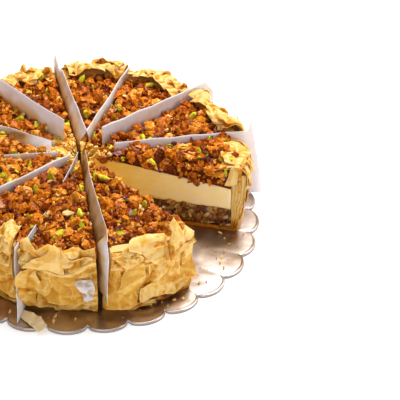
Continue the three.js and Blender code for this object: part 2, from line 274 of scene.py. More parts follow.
class Portion:
    """One portion between two cuts: where its tip is, where its middle points and half its angle."""

    def __init__(self, number):
        (first, first_gap), (second, second_gap) = CUTS[number - 1], CUTS[number]
        self.number = number
        self.label = f"{number:02d}"
        self.middle = math.radians(first + second) / 2
        self.half = math.radians(second - first) / 2
        self.slide = (first_gap + second_gap) / 4 / math.sin(self.half)
        self.shift = (first_gap - second_gap) / 4 / math.cos(self.half)
        self.open = (number == 1, number == len(CUTS) - 1)

    def place(self, radius, angle, height):
        """Points from the distance from the tip, the angle from the middle and the height above the foot."""
        along = self.slide + radius * np.cos(angle)
        beside = self.shift + radius * np.sin(angle)
        cos, sin = math.cos(self.middle), math.sin(self.middle)
        x = MEET[0] + along * cos - beside * sin
        y = MEET[1] + along * sin + beside * cos
        return np.stack(np.broadcast_arrays(x, y, CAKE_FOOT + height), axis=-1)

    def from_tip(self, cake_radius, angle):
        """A radius round the cake's middle as a distance from the portion's tip."""
        turned = self.middle + angle
        x, y = MEET_FROM_MIDDLE
        return cake_radius - x * np.cos(turned) - y * np.sin(turned) - self.slide

    def trim(self, points, margins):
        """Moves points that stand past a cut back to its margin inside it, as the knife and paper do."""
        cos, sin = math.cos(self.middle), math.sin(self.middle)
        x, y = points[:, 0] - MEET[0], points[:, 1] - MEET[1]
        along = x * cos + y * sin - self.slide
        beside = y * cos - x * sin - self.shift
        for side, margin in zip((1, -1), margins):
            short = np.maximum(margin - along * math.sin(self.half) - side * beside * math.cos(self.half), 0)
            along = along + short * math.sin(self.half)
            beside = beside + short * side * math.cos(self.half)
        along, beside = along + self.slide, beside + self.shift
        trimmed = points.copy()
        trimmed[:, 0] = MEET[0] + along * cos - beside * sin
        trimmed[:, 1] = MEET[1] + along * sin + beside * cos
        return trimmed


def grid_quads(corners):
    """Quads between a grid of corners, which are given as places in a list of points."""
    around = [corners[:-1, :-1], corners[1:, :-1], corners[1:, 1:], corners[:-1, 1:]]
    return np.stack(around, axis=-1).reshape(-1, 4)


def block_skin(ni, nj, nk):
    """Quads that close a block of ni by nj by nk cells, as places in its list of corners."""
    corners = np.arange((ni + 1) * (nj + 1) * (nk + 1)).reshape(ni + 1, nj + 1, nk + 1)
    sides = [
        corners[:, :, -1], corners[:, :, 0].T, corners[-1], corners[0].T, corners[:, -1].T, corners[:, 0],
    ]
    return np.concatenate([grid_quads(side) for side in sides])


def closed_block(points, *values):
    """Corners on the skin of a lattice of points, its quads, and the lattice's values at those corners."""
    faces = block_skin(*(n - 1 for n in points.shape[:3]))
    used, faces = np.unique(faces, return_inverse=True)
    return points.reshape(-1, 3)[used], faces.reshape(-1, 4), *(v.reshape(-1)[used] for v in values)


def join(parts):
    """Several lists of points, faces and values as one."""
    starts = np.cumsum([0] + [len(part[0]) for part in parts[:-1]])
    faces = np.concatenate([part[1] + start for part, start in zip(parts, starts)])
    return np.concatenate([part[0] for part in parts]), faces, *map(np.concatenate, list(zip(*parts))[2:])


def scramble(cells, seed):
    """Repeatable random numbers from 0 to 1, one for each cell of a grid."""
    wave = np.sin(cells @ np.array([127.1, 311.7, 74.7])[: cells.shape[-1]] + 19.19 * seed) * 43758.5453
    return wave - np.floor(wave)


def drift(points, seed):
    """Smooth noise from -1 to 1 that changes over about one unit."""
    home = np.floor(points)
    part = points - home
    part = part * part * (3 - 2 * part)
    total = 0
    for step in itertools.product((0, 1), repeat=points.shape[-1]):
        weight = np.prod(np.where(step, part, 1 - part), axis=-1)
        total = total + weight * scramble(home + step, seed)
    return 2 * total - 1


def ease(value, low, high):
    """Smooth step from 0 at low to 1 at high."""
    share = np.clip((value - low) / (high - low), 0, 1)
    return share * share * (3 - 2 * share)


portions = [Portion(number) for number in range(1, len(CUTS))]


# The filo shell: buttered sheets of filo pressed into the tin one over another and baked. A wall holds them,
# then torn sheets lie on it like shingles, fold over the rim as a collar, and stand up in points.
WALL_INNER_RADIUS = 112.5
FOOT_RADIUS = 114.5
RIM_RADIUS = 119.5
# Each layer of the cake keeps this far from the next.
LAYER_GAP = 0.3
BASE_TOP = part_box("nut_layer_01")[0].z / MM - CAKE_FOOT - LAYER_GAP
TOPPING_TOP = 53.5
RIM_TOP = 58
RIM_ROUND = 3.2
# The rim's crest waves round the cake: height of each wave, how many go round, and where it starts.
RIM_WAVES = [(1.6, 5, 1), (1.3, 13, 0)]
FILO_STEP = 1.1
FILO_THICKNESS = 0.5
KNIFE_MARGIN = 0.35
# A sheet that would lie lower on the wall than this is pressed nearly flat instead.
LEAST_LIFT = 0.4
# Width and height of the folds that all sheets of a shell share.
FOLD_WIDTH = 17
FOLD_HEIGHT = 19
# The walls of portions 10 and 11 spring apart at the cut between them: how far the edge stands back from the
# knife at these climbs, by portion and side, which is 1 at its second cut.
SPRUNG_CLIMBS = [8, 22, 40, 52]
SPRUNG = {
    (9, 1): [1, 4, 6, 4],
    (10, -1): [-2, -6, -8, -5],
    (10, 1): [0, 0.3, 0.8, 1.4],
    (11, -1): [0, 2.4, 4.2, 5],
}
# How far the wall's own top stays below the rim, and how far where its sheets end low.
WALL_BELOW_RIM = 2.5
LOW_WALLS = {10: 6, 11: 6}
# How much lower than the others a portion's rim is at its first and second cut.
RIM_DROPS = {1: (3, 14)}
# The ends of the sheets fill the wall out by an open cut, and fade over this arc.
OPEN_END_SWELL = 3.2
OPEN_END_ARC = (2, 14)
# How many narrow flaps stand up from the rim, where they aren't three.
FLAPS = {1: 1, 10: 0, 11: 0}
# Where the wall swells: portion, arc and climb of the middle, arc and climb over which it fades, and depth.
SWELLS = [(1, 2, 34, 14, 22, 2), (9, 26, 26, 12, 14, 4), (10, -28, 26, 10, 12, 5), (11, 20, 20, 12, 16, -1.5)]


def crumple(points, seed, facets=False):
    """Flat triangular facets about one unit wide that meet in sharp folds, from -1 to 1, as in crumpled
    paper. Where facets is set, each facet has one value of its own instead."""
    warped = points + 0.2 * np.stack([drift(points, seed + 20), drift(points + 5.5, seed + 21)], axis=-1)
    home = np.floor(warped)
    part = warped - home
    flip = scramble(home, seed + 40) > 0.5
    x, y = np.where(flip, 1 - part[..., 0], part[..., 0]), part[..., 1]
    if facets:
        return 2 * scramble(home + 0.5 * (x > y)[..., None], seed + 60) - 1
    a, b, c, d = (scramble(home + step, seed) for step in ((0, 0), (1, 0), (0, 1), (1, 1)))
    a, b = np.where(flip, b, a), np.where(flip, a, b)
    c, d = np.where(flip, d, c), np.where(flip, c, d)
    height = np.where(x > y, a + x * (b - a) + y * (d - b), a + y * (c - a) + x * (d - c))
    return 2 * height - 1


def torn(along, seed):
    """A jagged edge with straight sides about one unit long, from -1 to 1."""
    home = np.floor(along)
    before, after = scramble(home[..., None], seed), scramble(home[..., None] + 1, seed)
    return 2 * (before + (after - before) * (along - home)) - 1


def shared_folds(portion, arc, climb):
    """The folds that run through all sheets of a portion's shell, from -1 to 1."""
    flat = np.stack([arc / FOLD_WIDTH, climb / FOLD_HEIGHT], -1)
    return crumple(flat + 3.3 * portion.number, portion.number)


def sprung(portion, side, climb):
    """How far the shell's edge stands back from the knife at a climb."""
    return np.interp(climb, SPRUNG_CLIMBS, SPRUNG.get((portion.number, side), [0, 0, 0, 0]))


def rim_height(portion, angle):
    """How high the rim's crest is."""
    turned = portion.middle + angle
    drop = np.interp(angle, (-portion.half, portion.half), RIM_DROPS.get(portion.number, (0, 0)))
    crest = RIM_TOP
    for size, count, start in RIM_WAVES:
        crest = crest + size * np.sin(count * turned + start)
    return crest - drop


def wall_radius(portion, angle, climb):
    """Distance from the tip to the wall's face, which leans outwards and swells in places."""
    lean = FOOT_RADIUS + (RIM_RADIUS - FOOT_RADIUS) * np.clip(climb / RIM_TOP, 0, 1) ** 0.7
    for number, arc, height, arc_fade, height_fade, depth in SWELLS:
        if number == portion.number:
            away = ((angle * FOOT_RADIUS - arc) / arc_fade) ** 2 + ((climb - height) / height_fade) ** 2
            lean = lean + depth * np.exp(-away)
    return portion.from_tip(lean, angle)


def over_wall(portion, angle, climb, lift, bend_to):
    """Where a sheet lies that climbs the wall's face from its foot and bends over at the rim."""
    crest = rim_height(portion, angle) - RIM_ROUND
    over = np.maximum(climb - crest, 0)
    bend = bend_to * np.clip(over / (RIM_ROUND * abs(bend_to)), 0, 1)
    onward = np.maximum(over - RIM_ROUND * abs(bend_to), 0)
    side = math.copysign(1, bend_to)
    face = wall_radius(portion, angle, climb) - side * RIM_ROUND * (1 - np.cos(bend))
    radius = face + lift * np.cos(bend) - onward * np.sin(bend)
    height = np.minimum(climb, crest) + RIM_ROUND * np.sin(abs(bend)) + lift * np.sin(bend)
    return portion.place(radius, angle, height + onward * np.cos(bend))


def stretch(net, nu, nv):
    """Rows of control points spread over a finer grid, straight between them, so that folds stay sharp."""
    rows, columns = net.shape[:2]
    u, v = np.linspace(0, columns - 1, nu + 1), np.linspace(0, rows - 1, nv + 1)
    i, j = np.minimum(u.astype(int), columns - 2), np.minimum(v.astype(int), rows - 2)
    a, b = (u - i)[:, None, None], (v - j)[None, :, None]
    near, far = (
        (1 - b) * net[j][:, n].swapaxes(0, 1) + b * net[j + 1][:, n].swapaxes(0, 1) for n in (i, i + 1)
    )
    return (1 - a) * near + a * far


def soften(field, reach):
    """A grid of values averaged over the cells within reach."""
    window = 2 * reach + 1
    for axis in (0, 1):
        ends = [(reach, reach) if n == axis else (0, 0) for n in (0, 1)]
        padded = np.pad(field, ends, mode="edge")
        count = field.shape[axis]
        field = sum(np.take(padded, range(k, k + count), axis=axis) for k in range(window)) / window
    return field


def thin_sheet(sides, values):
    """A closed sheet from the grids of points of its two sides, and the same values on both."""
    return closed_block(np.stack(sides, axis=2), np.stack([values, values], axis=2))


def filo_sheet(portion, seed, net, bend=100, crush=3.0, fold=9, shared=4.0, curl=1.0, ragged=2.5, browning_and_shade=0.4):
    """One torn sheet, laid over a net of (arc from the portion's middle, climb up the wall, lift off it) in
    rows from its foot up. Crush is how deep its own creases are and fold how wide, shared how far it follows
    the folds of the sheets under it, curl how far its lower edge stands off, ragged how far its edges are
    torn, bend how far it turns over the rim in degrees, and toast how brown it is, which in small dark
    patches by hollows, folds and gaps is painted shade."""
    net = np.array(net, dtype=float)
    width, tall = np.ptp(net[..., 0]), np.ptp(net[..., 1])
    nu, nv = (max(4, round(length / FILO_STEP)) for length in (width, tall))
    arc, climb, lift = np.moveaxis(stretch(net, nu, nv), -1, 0)
    u, v = np.meshgrid(np.linspace(0, 1, nu + 1), np.linspace(0, 1, nv + 1), indexing="ij")
    # The left and right edges, and the upper and lower ones, are each torn in their own way.
    left_or_right, up_or_down = np.where(u > 0.5, 50, 60), np.where(v > 0.5, 70, 80)
    arc = arc + ragged * (2 * u - 1) * abs(2 * u - 1) ** 3 * torn(climb / 6 + left_or_right, seed + 1)
    climb = climb + 1.4 * ragged * (2 * v - 1) ** 3 * torn(arc / 8 + up_or_down, seed + 2)
    reach = portion.half * FOOT_RADIUS - KNIFE_MARGIN
    first, second = (reach - sprung(portion, side, climb) for side in (-1, 1))
    cut = np.clip(arc, -first, second)
    arc, climb = cut + 0.02 * (arc - cut), np.maximum(climb, 0.3 + 0.02 * climb)
    turn = scramble(np.array([seed, 1.0]), 5) * math.pi
    skew_arc = arc * math.cos(turn) - climb * math.sin(turn)
    skew_climb = arc * math.sin(turn) + climb * math.cos(turn)
    skew = np.stack([skew_arc, skew_climb / 1.5], -1) / fold
    folds = shared * shared_folds(portion, arc, climb)
    own = crush * crumple(skew + seed, seed) + 0.3 * crush * crumple(skew * 2.2 + seed, seed + 9)
    curled = curl * (1 - v) ** 3 * (1.5 + drift(np.stack([u * 3, u * 0], -1), seed + 6))
    lift = lift + folds + own + curled
    lift = np.where(lift < LEAST_LIFT, LEAST_LIFT + 0.15 * (lift - LEAST_LIFT), lift)
    faces = (lift + side * FILO_THICKNESS / 2 for side in (-1, 1))
    sides = [over_wall(portion, arc / FOOT_RADIUS, climb, face, math.radians(bend)) for face in faces]
    # Hollows get painted shade, ridges and torn edges painted highlights, and each facet a random tone.
    edge = np.minimum(np.minimum(u, 1 - u) * width, np.minimum(v, 1 - v) * tall)
    painted_ridge_light = np.clip((lift - soften(lift, 1)) / 0.2, -1, 1)
    painted_hollow_shade = np.clip((soften(lift, 4) - lift) / 1.1, -1, 1)
    baked = browning_and_shade - 0.36 * painted_ridge_light + 0.12 * painted_hollow_shade + 0.13 * crumple(skew + seed, seed, facets=True)
    baked = baked - 0.3 * (1 - ease(edge, 0, 1.2))
    return thin_sheet(sides, np.clip(baked, 0, 1))


def filo_wall(portion):
    """The shell under the torn sheets: a base that runs out from the tip and turns up into the wall."""
    base_steps, wall_steps, arc_steps, layers = 6, 40, 40, 9
    steps = (base_steps + wall_steps, arc_steps, layers)
    i, j, k = np.meshgrid(*(np.arange(n + 1) for n in steps), indexing="ij")
    across = 2 * j / arc_steps - 1
    inside = k / layers
    rise = np.clip((i - base_steps) / wall_steps, 0, 1)
    climb = rise * RIM_TOP
    back = np.where(across < 0, *(sprung(portion, side, climb) for side in (-1, 1)))
    angle = across * (portion.half - back / FOOT_RADIUS)
    inner = portion.from_tip(WALL_INNER_RADIUS, angle)
    folds = shared_folds(portion, angle * FOOT_RADIUS, climb)
    outer = wall_radius(portion, angle, climb) - 0.6 + 1.5 * folds
    for side, is_open in zip((1, -1), portion.open):
        if is_open:
            from_cut = FOOT_RADIUS * (portion.half + side * angle)
            outer = outer + OPEN_END_SWELL * (1 - ease(from_cut, *OPEN_END_ARC))
    crest = rim_height(portion, angle) - LOW_WALLS.get(portion.number, WALL_BELOW_RIM)
    along = np.clip(i / base_steps, 0, 1)
    # The layers of the cut end wave together and part a little, and every second one is browner.
    apart = drift(np.stack([k * 3.0, rise * 9], -1), portion.number)
    together = drift(rise[..., None] * 5, 3)
    wavy = (0.45 * apart + 1.5 * together) * np.sin(np.pi * inside) * (along == 1)
    radius = TIP_RADIUS + (outer + (inner - outer) * inside - TIP_RADIUS) * along + wavy
    height = BASE_TOP * inside * (1 - rise) + crest * rise
    parted = 0.25 * np.where(k % 2, 1, -1) * np.sign(across) * (abs(across) > 0.999) * (along == 1)
    points = portion.place(radius, angle - parted / FOOT_RADIUS, height)
    # The wall is painted paler where its folds stand out and darker where they sink, as highlight and shade,
    # and it gets darker towards the foot.
    baked = 0.45 * (k % 2) - 0.2 - 0.15 * folds + 0.7 * (1 - ease(climb, 4, 14))
    return closed_block(points, np.clip(baked, 0, 1))


# Sheets laid one by one where the photograph shows them: portion, what differs from other sheets, and the
# net.
PLACED_SHEETS = [
    # Portion 10: three panels under the collar, the left one flaring out past the cut, an arched hollow, a
    # band at the foot, a slope with a round hollow, a flap, a tent with its peak on the rim, and a rolled
    # lower edge. The hollows and the other small dark patches by its edges are painted shade.
    (10, dict(browning_and_shade=0.3, crush=1.8, fold=9), [
        [(-26, 4, 6), (-22, 4, 4), (-16, 7, 4)],
        [(-28, 14, 10), (-22, 12, 6), (-16, 14, 4)],
        [(-28, 23, 11), (-22, 20, 6), (-16, 21, 4.5)],
        [(-27, 36, 11), (-21, 33, 6), (-15, 31, 5)],
        [(-25, 42, 9), (-19, 42, 6), (-14, 40, 5)],
    ]),
    (10, dict(browning_and_shade=0.38, crush=1.8), [
        [(-17, 7, 3.5), (-11, 12, 3), (-3, 10, 3.5)],
        [(-16, 18, 4), (-11, 23, 5), (-3, 19, 3)],
        [(-15, 30, 5), (-10, 30, 4.5), (-7, 28, 3)],
        [(-14, 40, 5.5), (-11, 41, 5), (-8, 38, 4)],
    ]),
    (10, dict(browning_and_shade=0.36, crush=2, fold=9), [
        [(-3, 14, 3), (7, 12, 3), (22, 9, 3)],
        [(-3, 23, 5), (8, 24, 4.5), (21, 23, 4)],
        [(-7, 31, 5.5), (5, 33, 5), (20, 33, 4)],
        [(-9, 40, 5), (0, 38, 5), (18, 40, 4)],
    ]),
    (10, dict(browning_and_shade=0.58, ragged=0.4), [[(-12, 12, 4.2), (-8, 12, 4.2)], [(-11, 19, 5), (-9, 19, 5)]]),
    (10, dict(browning_and_shade=0.3, crush=2, fold=7), [
        [(-4, 4, 2), (7, 3, 2), (24, 3, 2)],
        [(-4, 14, 4), (8, 16, 4), (24, 13, 3)],
    ]),
    (10, dict(browning_and_shade=0.16, bend=60), [
        [(1, 42, 4.5), (6, 48, 5), (12, 45, 6), (19, 48, 5), (24, 48, 5)],
        [(0, 50, 4.5), (4, 50, 4), (11, 49, 1.5), (17, 50, 3.5), (24, 49, 3.5)],
        [(-3, 54, 3.5), (3, 54, 3.5), (9, 54, 3.5), (15, 52, 3), (23, 50, 3)],
    ]),
    (10, dict(browning_and_shade=0.58, bend=60, ragged=0.4), [
        [(9, 47, 3.4), (13, 46, 3.4)],
        [(9, 52, 3.2), (13, 52, 3.2)],
    ]),
    (10, dict(browning_and_shade=0.28, bend=90, crush=3, fold=5), [
        [(-28, 43, 3.5), (-22, 44, 3.5), (-14, 45, 3.5), (-6, 45, 3)],
        [(-28, 49, 1.5), (-22, 50, 2), (-14, 50, 2), (-6, 50, 1.5)],
        [(-28, 53, 0.8), (-22, 54, 1), (-14, 54, 1), (-6, 53, 0.8)],
    ]),
    (10, dict(browning_and_shade=0.16, bend=90, crush=3, fold=5), [
        [(2, 46, 3.5), (10, 45, 2.5), (18, 46, 3), (25, 45, 2.5)],
        [(0, 51, 2), (9, 51, 1.5), (17, 51, 2), (25, 50, 1.5)],
        [(0, 56, 1), (8, 56, 1), (16, 55, 1), (25, 54, 1)],
    ]),
    (10, dict(browning_and_shade=0.62, ragged=0.4), [
        [(-20, 43, 4.5), (-16, 44, 4.5)],
        [(-19, 48, 4.5), (-15, 49, 4.5)],
    ]),
    (10, dict(browning_and_shade=0.12, bend=80, crush=0.7, ragged=0.7), [
        [(-25, 43, 6.5), (-13, 43, 7.5), (-5, 43, 8), (3, 41, 6.5)],
        [(-18, 51, 7.5), (-10, 51, 8), (-5, 51, 8.5), (2, 49, 6.5)],
        [(-10, 55, 6.5), (-7, 56, 7), (-4, 57, 6.5), (0, 55, 6)],
    ]),
    (10, dict(browning_and_shade=0.05, crush=1.2, ragged=0.5), [
        [(-28, 43, 4), (-17, 42, 5), (-7, 39, 5.5), (0, 37, 5),
         (8, 37, 5), (13, 41, 5), (19, 45, 5), (24, 46, 5)],
        [(-28, 46, 6), (-16, 45, 7), (-6, 42, 8), (0, 40, 8),
         (8, 41, 7), (13, 45, 7), (19, 48, 6), (24, 48, 6)],
        [(-28, 47, 4), (-16, 46, 5), (-6, 43, 5.5), (0, 41, 5),
         (8, 42, 5), (13, 46, 5), (19, 49, 5), (24, 49, 5)],
    ]),
    (10, dict(browning_and_shade=0.62, ragged=0.3), [[(3, 38, 5.4), (8, 38, 5.4)], [(5, 42, 6.2), (6, 42, 6.2)]]),
    (10, dict(browning_and_shade=0.7, ragged=0.3), [[(19, 39, 5), (21, 40, 5)], [(19, 45, 5), (21, 44, 5)]]),
    # Portion 11: panels with an arched top, a broad pale facet folded over the rim, and pointed flaps at its
    # end. The small dark patches by its flaps and edges are painted shade.
    (11, dict(browning_and_shade=0.42, crush=1.6, fold=9), [
        [(-30, 14, 2.5), (-26, 13, 3), (-22, 13, 3)],
        [(-29, 29, 3.5), (-25, 28, 4), (-21, 30, 4)],
        [(-29, 43, 3), (-24, 44, 4), (-20, 41, 3.5)],
    ]),
    (11, dict(browning_and_shade=0.3, crush=2.2), [
        [(-2, 21, 2.5), (5, 18, 3), (14, 12, 2.5), (23, 10, 2.5)],
        [(-4, 32, 4), (3, 26, 4.5), (12, 22, 3.5), (22, 19, 3.5)],
        [(-4, 42, 3.5), (4, 36, 4), (11, 40, 4), (22, 44, 3)],
    ]),
    (11, dict(browning_and_shade=0.2, bend=70), [
        [(-20, 43, 5), (-19, 41, 6), (-18, 43, 5)],
        [(-27, 50, 4), (-21, 48, 5), (-14, 49, 5)],
        [(-30, 56, 2), (-22, 56, 2), (-14, 55, 2.5)],
    ]),
    (11, dict(browning_and_shade=0.34, crush=1.6, fold=10), [
        [(-27, 12, 4), (-21, 10, 4.5), (-14, 9, 4)],
        [(-22, 27, 5), (-14, 26, 5.5), (-6, 24, 5)],
        [(-18, 43, 5.5), (-11, 44, 6.5), (-5, 40, 5.5)],
        [(-15, 49, 4.5), (-11, 52, 6), (-6, 46, 4.5)],
    ]),
    (11, dict(browning_and_shade=0.62, ragged=0.3), [
        [(-19, 44, 4.5), (-12, 51, 5.5), (-5, 43, 4.5)],
        [(-18, 47, 5), (-11, 54, 6.5), (-4, 46, 5)],
    ]),
    (11, dict(browning_and_shade=0.58, ragged=0.3), [[(-22, 41, 6), (-20, 40, 6)], [(-22, 48, 6), (-19, 48, 6)]]),
    (11, dict(browning_and_shade=0.2), [
        [(-5, 41, 4.5), (4, 32, 6), (10, 36, 5), (18, 38, 4.5)],
        [(-5, 54, 4), (3, 50, 4), (10, 48, 4), (18, 52, 4)],
    ]),
    (11, dict(browning_and_shade=0.62, ragged=0.3), [[(12, 39, 5), (16, 38, 5)], [(12, 55, 5), (15, 54, 5)]]),
    (11, dict(browning_and_shade=0.06, crush=1.3, fold=6, bend=115, ragged=1.2), [
        [(-17, 56, 4), (-10, 52, 4.5), (-4, 46, 5.5), (4, 39, 5.5), (11, 41, 4.5)],
        [(-17, 58, 3), (-10, 55, 3.5), (-4, 52, 4), (4, 48, 4), (11, 47, 4)],
        [(-15, 60, 1.5), (-10, 59, 1.5), (-4, 57, 1.5), (4, 55, 1.5), (11, 53, 1.5)],
        [(-12, 62, 1), (-8, 63, 1), (-3, 63, 1), (5, 62, 1), (12, 60, 1)],
    ]),
    # Orange strips along the facet's top and right edges, painted as the shade in its folds.
    (11, dict(browning_and_shade=0.5, bend=115, ragged=0.3), [
        [(0, 54, 4.4), (10, 52.5, 4.4)],
        [(0, 56, 4), (10, 54.5, 4)],
    ]),
    (11, dict(browning_and_shade=0.5, bend=115, ragged=0.3), [
        [(8.5, 40, 6.6), (10.5, 39, 6.6)],
        [(9, 53, 5), (11, 53, 5)],
    ]),
    (11, dict(browning_and_shade=0.15, bend=95, fold=5), [
        [(-22, 45, 4.5), (-15, 47, 5), (-8, 44, 4.5)],
        [(-22, 50, 3), (-15, 51, 2), (-9, 50, 4)],
        [(-21, 54, 2), (-14, 55, 1.5), (-9, 56, 2)],
    ]),
    (11, dict(browning_and_shade=0.58, bend=95, ragged=0.4), [
        [(-27, 46, 5), (-24, 46, 5)],
        [(-27, 49, 4.5), (-24, 50, 4.5)],
    ]),
    (11, dict(browning_and_shade=0.18, bend=15, crush=2), [
        [(14, 38, 4.5), (19, 36, 5), (24, 36, 4)],
        [(13, 55, 4.5), (18, 55, 5.5), (22, 54, 4)],
        [(15, 65, 3), (18, 70, 3.5), (20, 65, 3)],
    ]),
    (11, dict(browning_and_shade=0.58, ragged=0.3), [[(22, 16, 4.4), (25, 14, 4.4)], [(21, 50, 4.4), (24, 47, 4.4)]]),
    (11, dict(browning_and_shade=0.15, bend=15, crush=2), [
        [(24, 11, 3), (27, 10, 4), (31, 12, 3)],
        [(24, 40, 3.5), (26, 38, 4.5), (29, 37, 3)],
        [(23, 55, 3.5), (25, 59, 4), (27, 53, 3)],
    ]),
    # Portion 11's foot: a browned band, painted darker as the shade in the gaps under the panels' torn lower
    # edges, and pale flakes over them.
    (11, dict(browning_and_shade=0.95, crush=1, fold=4, ragged=1.5), [
        [(-14, 3, 4), (-4, 3, 4.5), (6, 3, 4.5), (16, 1, 4), (27, 2, 4)],
        [(-12, 9, 4), (-4, 10, 4.5), (6, 9, 4.5), (16, 7, 4), (27, 10, 4)],
    ]),
    (11, dict(browning_and_shade=0.3, crush=1.5, fold=4, ragged=1.5), [
        [(-18, 0, 5.5), (-8, 1, 6), (2, 1, 5.5)],
        [(-16, 3, 5.5), (-7, 5, 6), (4, 4, 5.5)],
    ]),
    (11, dict(browning_and_shade=0.15, crush=2, fold=6, ragged=2.5, curl=1.5), [
        [(-9, 11, 6), (0, 9, 6.5), (9, 9, 6), (18, 7, 6), (25, 10, 5.5)],
        [(-7, 21, 5.5), (0, 22, 6), (9, 20, 5.5), (18, 19, 5.5), (24, 20, 5)],
    ]),
    # Portion 1: by the open cut a pale facet slopes in from the rim, and the ends of its sheets stand side by
    # side.
    (1, dict(browning_and_shade=0.1, bend=90, crush=1.5), [
        [(-27, 34, 4), (-20, 36, 4.5), (-10, 34, 4)],
        [(-27, 50, 4.5), (-20, 52, 5), (-10, 50, 5)],
        [(-27, 62, 3), (-20, 63, 3.5), (-10, 63, 3.5)],
        [(-27, 66, 2), (-20, 66, 2.5), (-12, 66, 3)],
    ]),
    (1, dict(browning_and_shade=0.1, crush=0.8), [[(-27, 8, 4.2), (-18, 8, 4)], [(-27, 51, 4.4), (-18, 51, 4.2)]]),
]

# Sheets that hang over the open end of portion 1, a pale facet, an orange strip painted as the shade in a
# crease, and a torn strip: how brown each is, and rows of (distance from the tip, distance in front of the
# cut, height) from its lower edge up.
HANGING_SHEETS = [
    (0.03, [
        [(108.3, 7, 46), (112.5, 8, 46.5), (117, 6, 47.5)],
        [(110, 4, 51), (113.5, 5.5, 53), (117.5, 3, 54)],
        [(111, 0.5, 57), (114.5, 1.5, 59.5), (118, 1, 60)],
        [(111, -9, 59), (114.5, -9, 61), (118, -9, 61.5)],
    ]),
    (0.48, [
        [(118.6, 3.4, 48), (120.4, 3, 49)],
        [(116.8, 2.8, 59.5), (120, 2.2, 59.5)],
        [(120.5, -15, 62), (123.5, -15, 61.5)],
    ]),
    (0.35, [[(117.6, 1.2, 36), (119.2, 1.2, 37)], [(117.4, 1.6, 46), (119.4, 1.6, 47)]]),
]
# The creases of a hanging sheet are this wide.
HANGING_FOLD = 4

# The sheets that every portion has, from the innermost out: left and right as shares of its half width, foot
# and top on the wall, lift, and what else differs.
SHELL_SHEETS = [
    (-1.1, 1.1, 3, 53, 0.8, dict(browning_and_shade=0.6, crush=2)),
    (-1.1, 0.2, 5, 50, 1.6, dict(browning_and_shade=0.46, crush=2.2, fold=11)),
    (-0.3, 1.1, 2, 46, 2.0, dict(browning_and_shade=0.4, crush=2.2, fold=11)),
    (-0.7, 0.35, 9, 50, 2.6, dict(browning_and_shade=0.46, crush=2.2, fold=12)),
    (-1.1, -0.35, 4, 38, 3.0, dict(browning_and_shade=0.44, crush=2.2, curl=2, fold=11)),
    (0.3, 1.1, 12, 48, 3.0, dict(browning_and_shade=0.38, crush=2.2, curl=1.5, fold=11)),
    (-1.1, 0.0, 43, 67, 3.0, dict(browning_and_shade=0.3, crush=4, fold=6, curl=1.5)),
    (-0.3, 0.75, 39, 68, 3.6, dict(browning_and_shade=0.22, crush=4, fold=6, curl=2)),
    (0.35, 1.1, 41, 66, 3.6, dict(browning_and_shade=0.3, crush=4, fold=6, curl=2)),
    (-0.9, -0.2, 44, 64, 4.0, dict(browning_and_shade=0.2, crush=4.5, fold=5, curl=2, bend=70)),
    (0.1, 0.6, 46, 65, 4.2, dict(browning_and_shade=0.25, crush=4.5, fold=5, curl=2, bend=80)),
]
# A sheet strays from its place by up to half of this: its sides as shares too, its foot and top, and its
# tilt.
SIDES_STRAY = 0.12
LEVELS_STRAY = 5
TILT_STRAY = 6
# A sheet whose foot is above this belongs to the collar.
COLLAR_FOOT = 36
# In these portions the rim is narrow and most of what shows is laid one by one above.
LAID_BY_HAND = (10, 11)
# Where the random draws and folds of the shells and of each layer start.
SHELL_SEED = 40
CREAM_SEED = 500
NUTS_SEED = 600
TOPPING_SEED = 700


def hanging_sheet(portion, browning_and_shade, rows):
    """One sheet that hangs over a portion's first cut."""
    net = np.array(rows, dtype=float)
    grid = stretch(net, 6 * (net.shape[1] - 1), 8 * (net.shape[0] - 1))
    radius, front, height = np.moveaxis(grid, -1, 0)
    flat = np.stack([radius, height], -1) / HANGING_FOLD
    front = front + 0.5 * crumple(flat, len(rows))
    sides = []
    for side in (-1, 1):
        past_cut = (front + side * FILO_THICKNESS / 2) / radius
        sides.append(portion.place(radius, -portion.half - past_cut, height))
    return thin_sheet(sides, np.clip(browning_and_shade + 0.2 * crumple(flat, 8, facets=True), 0, 1))


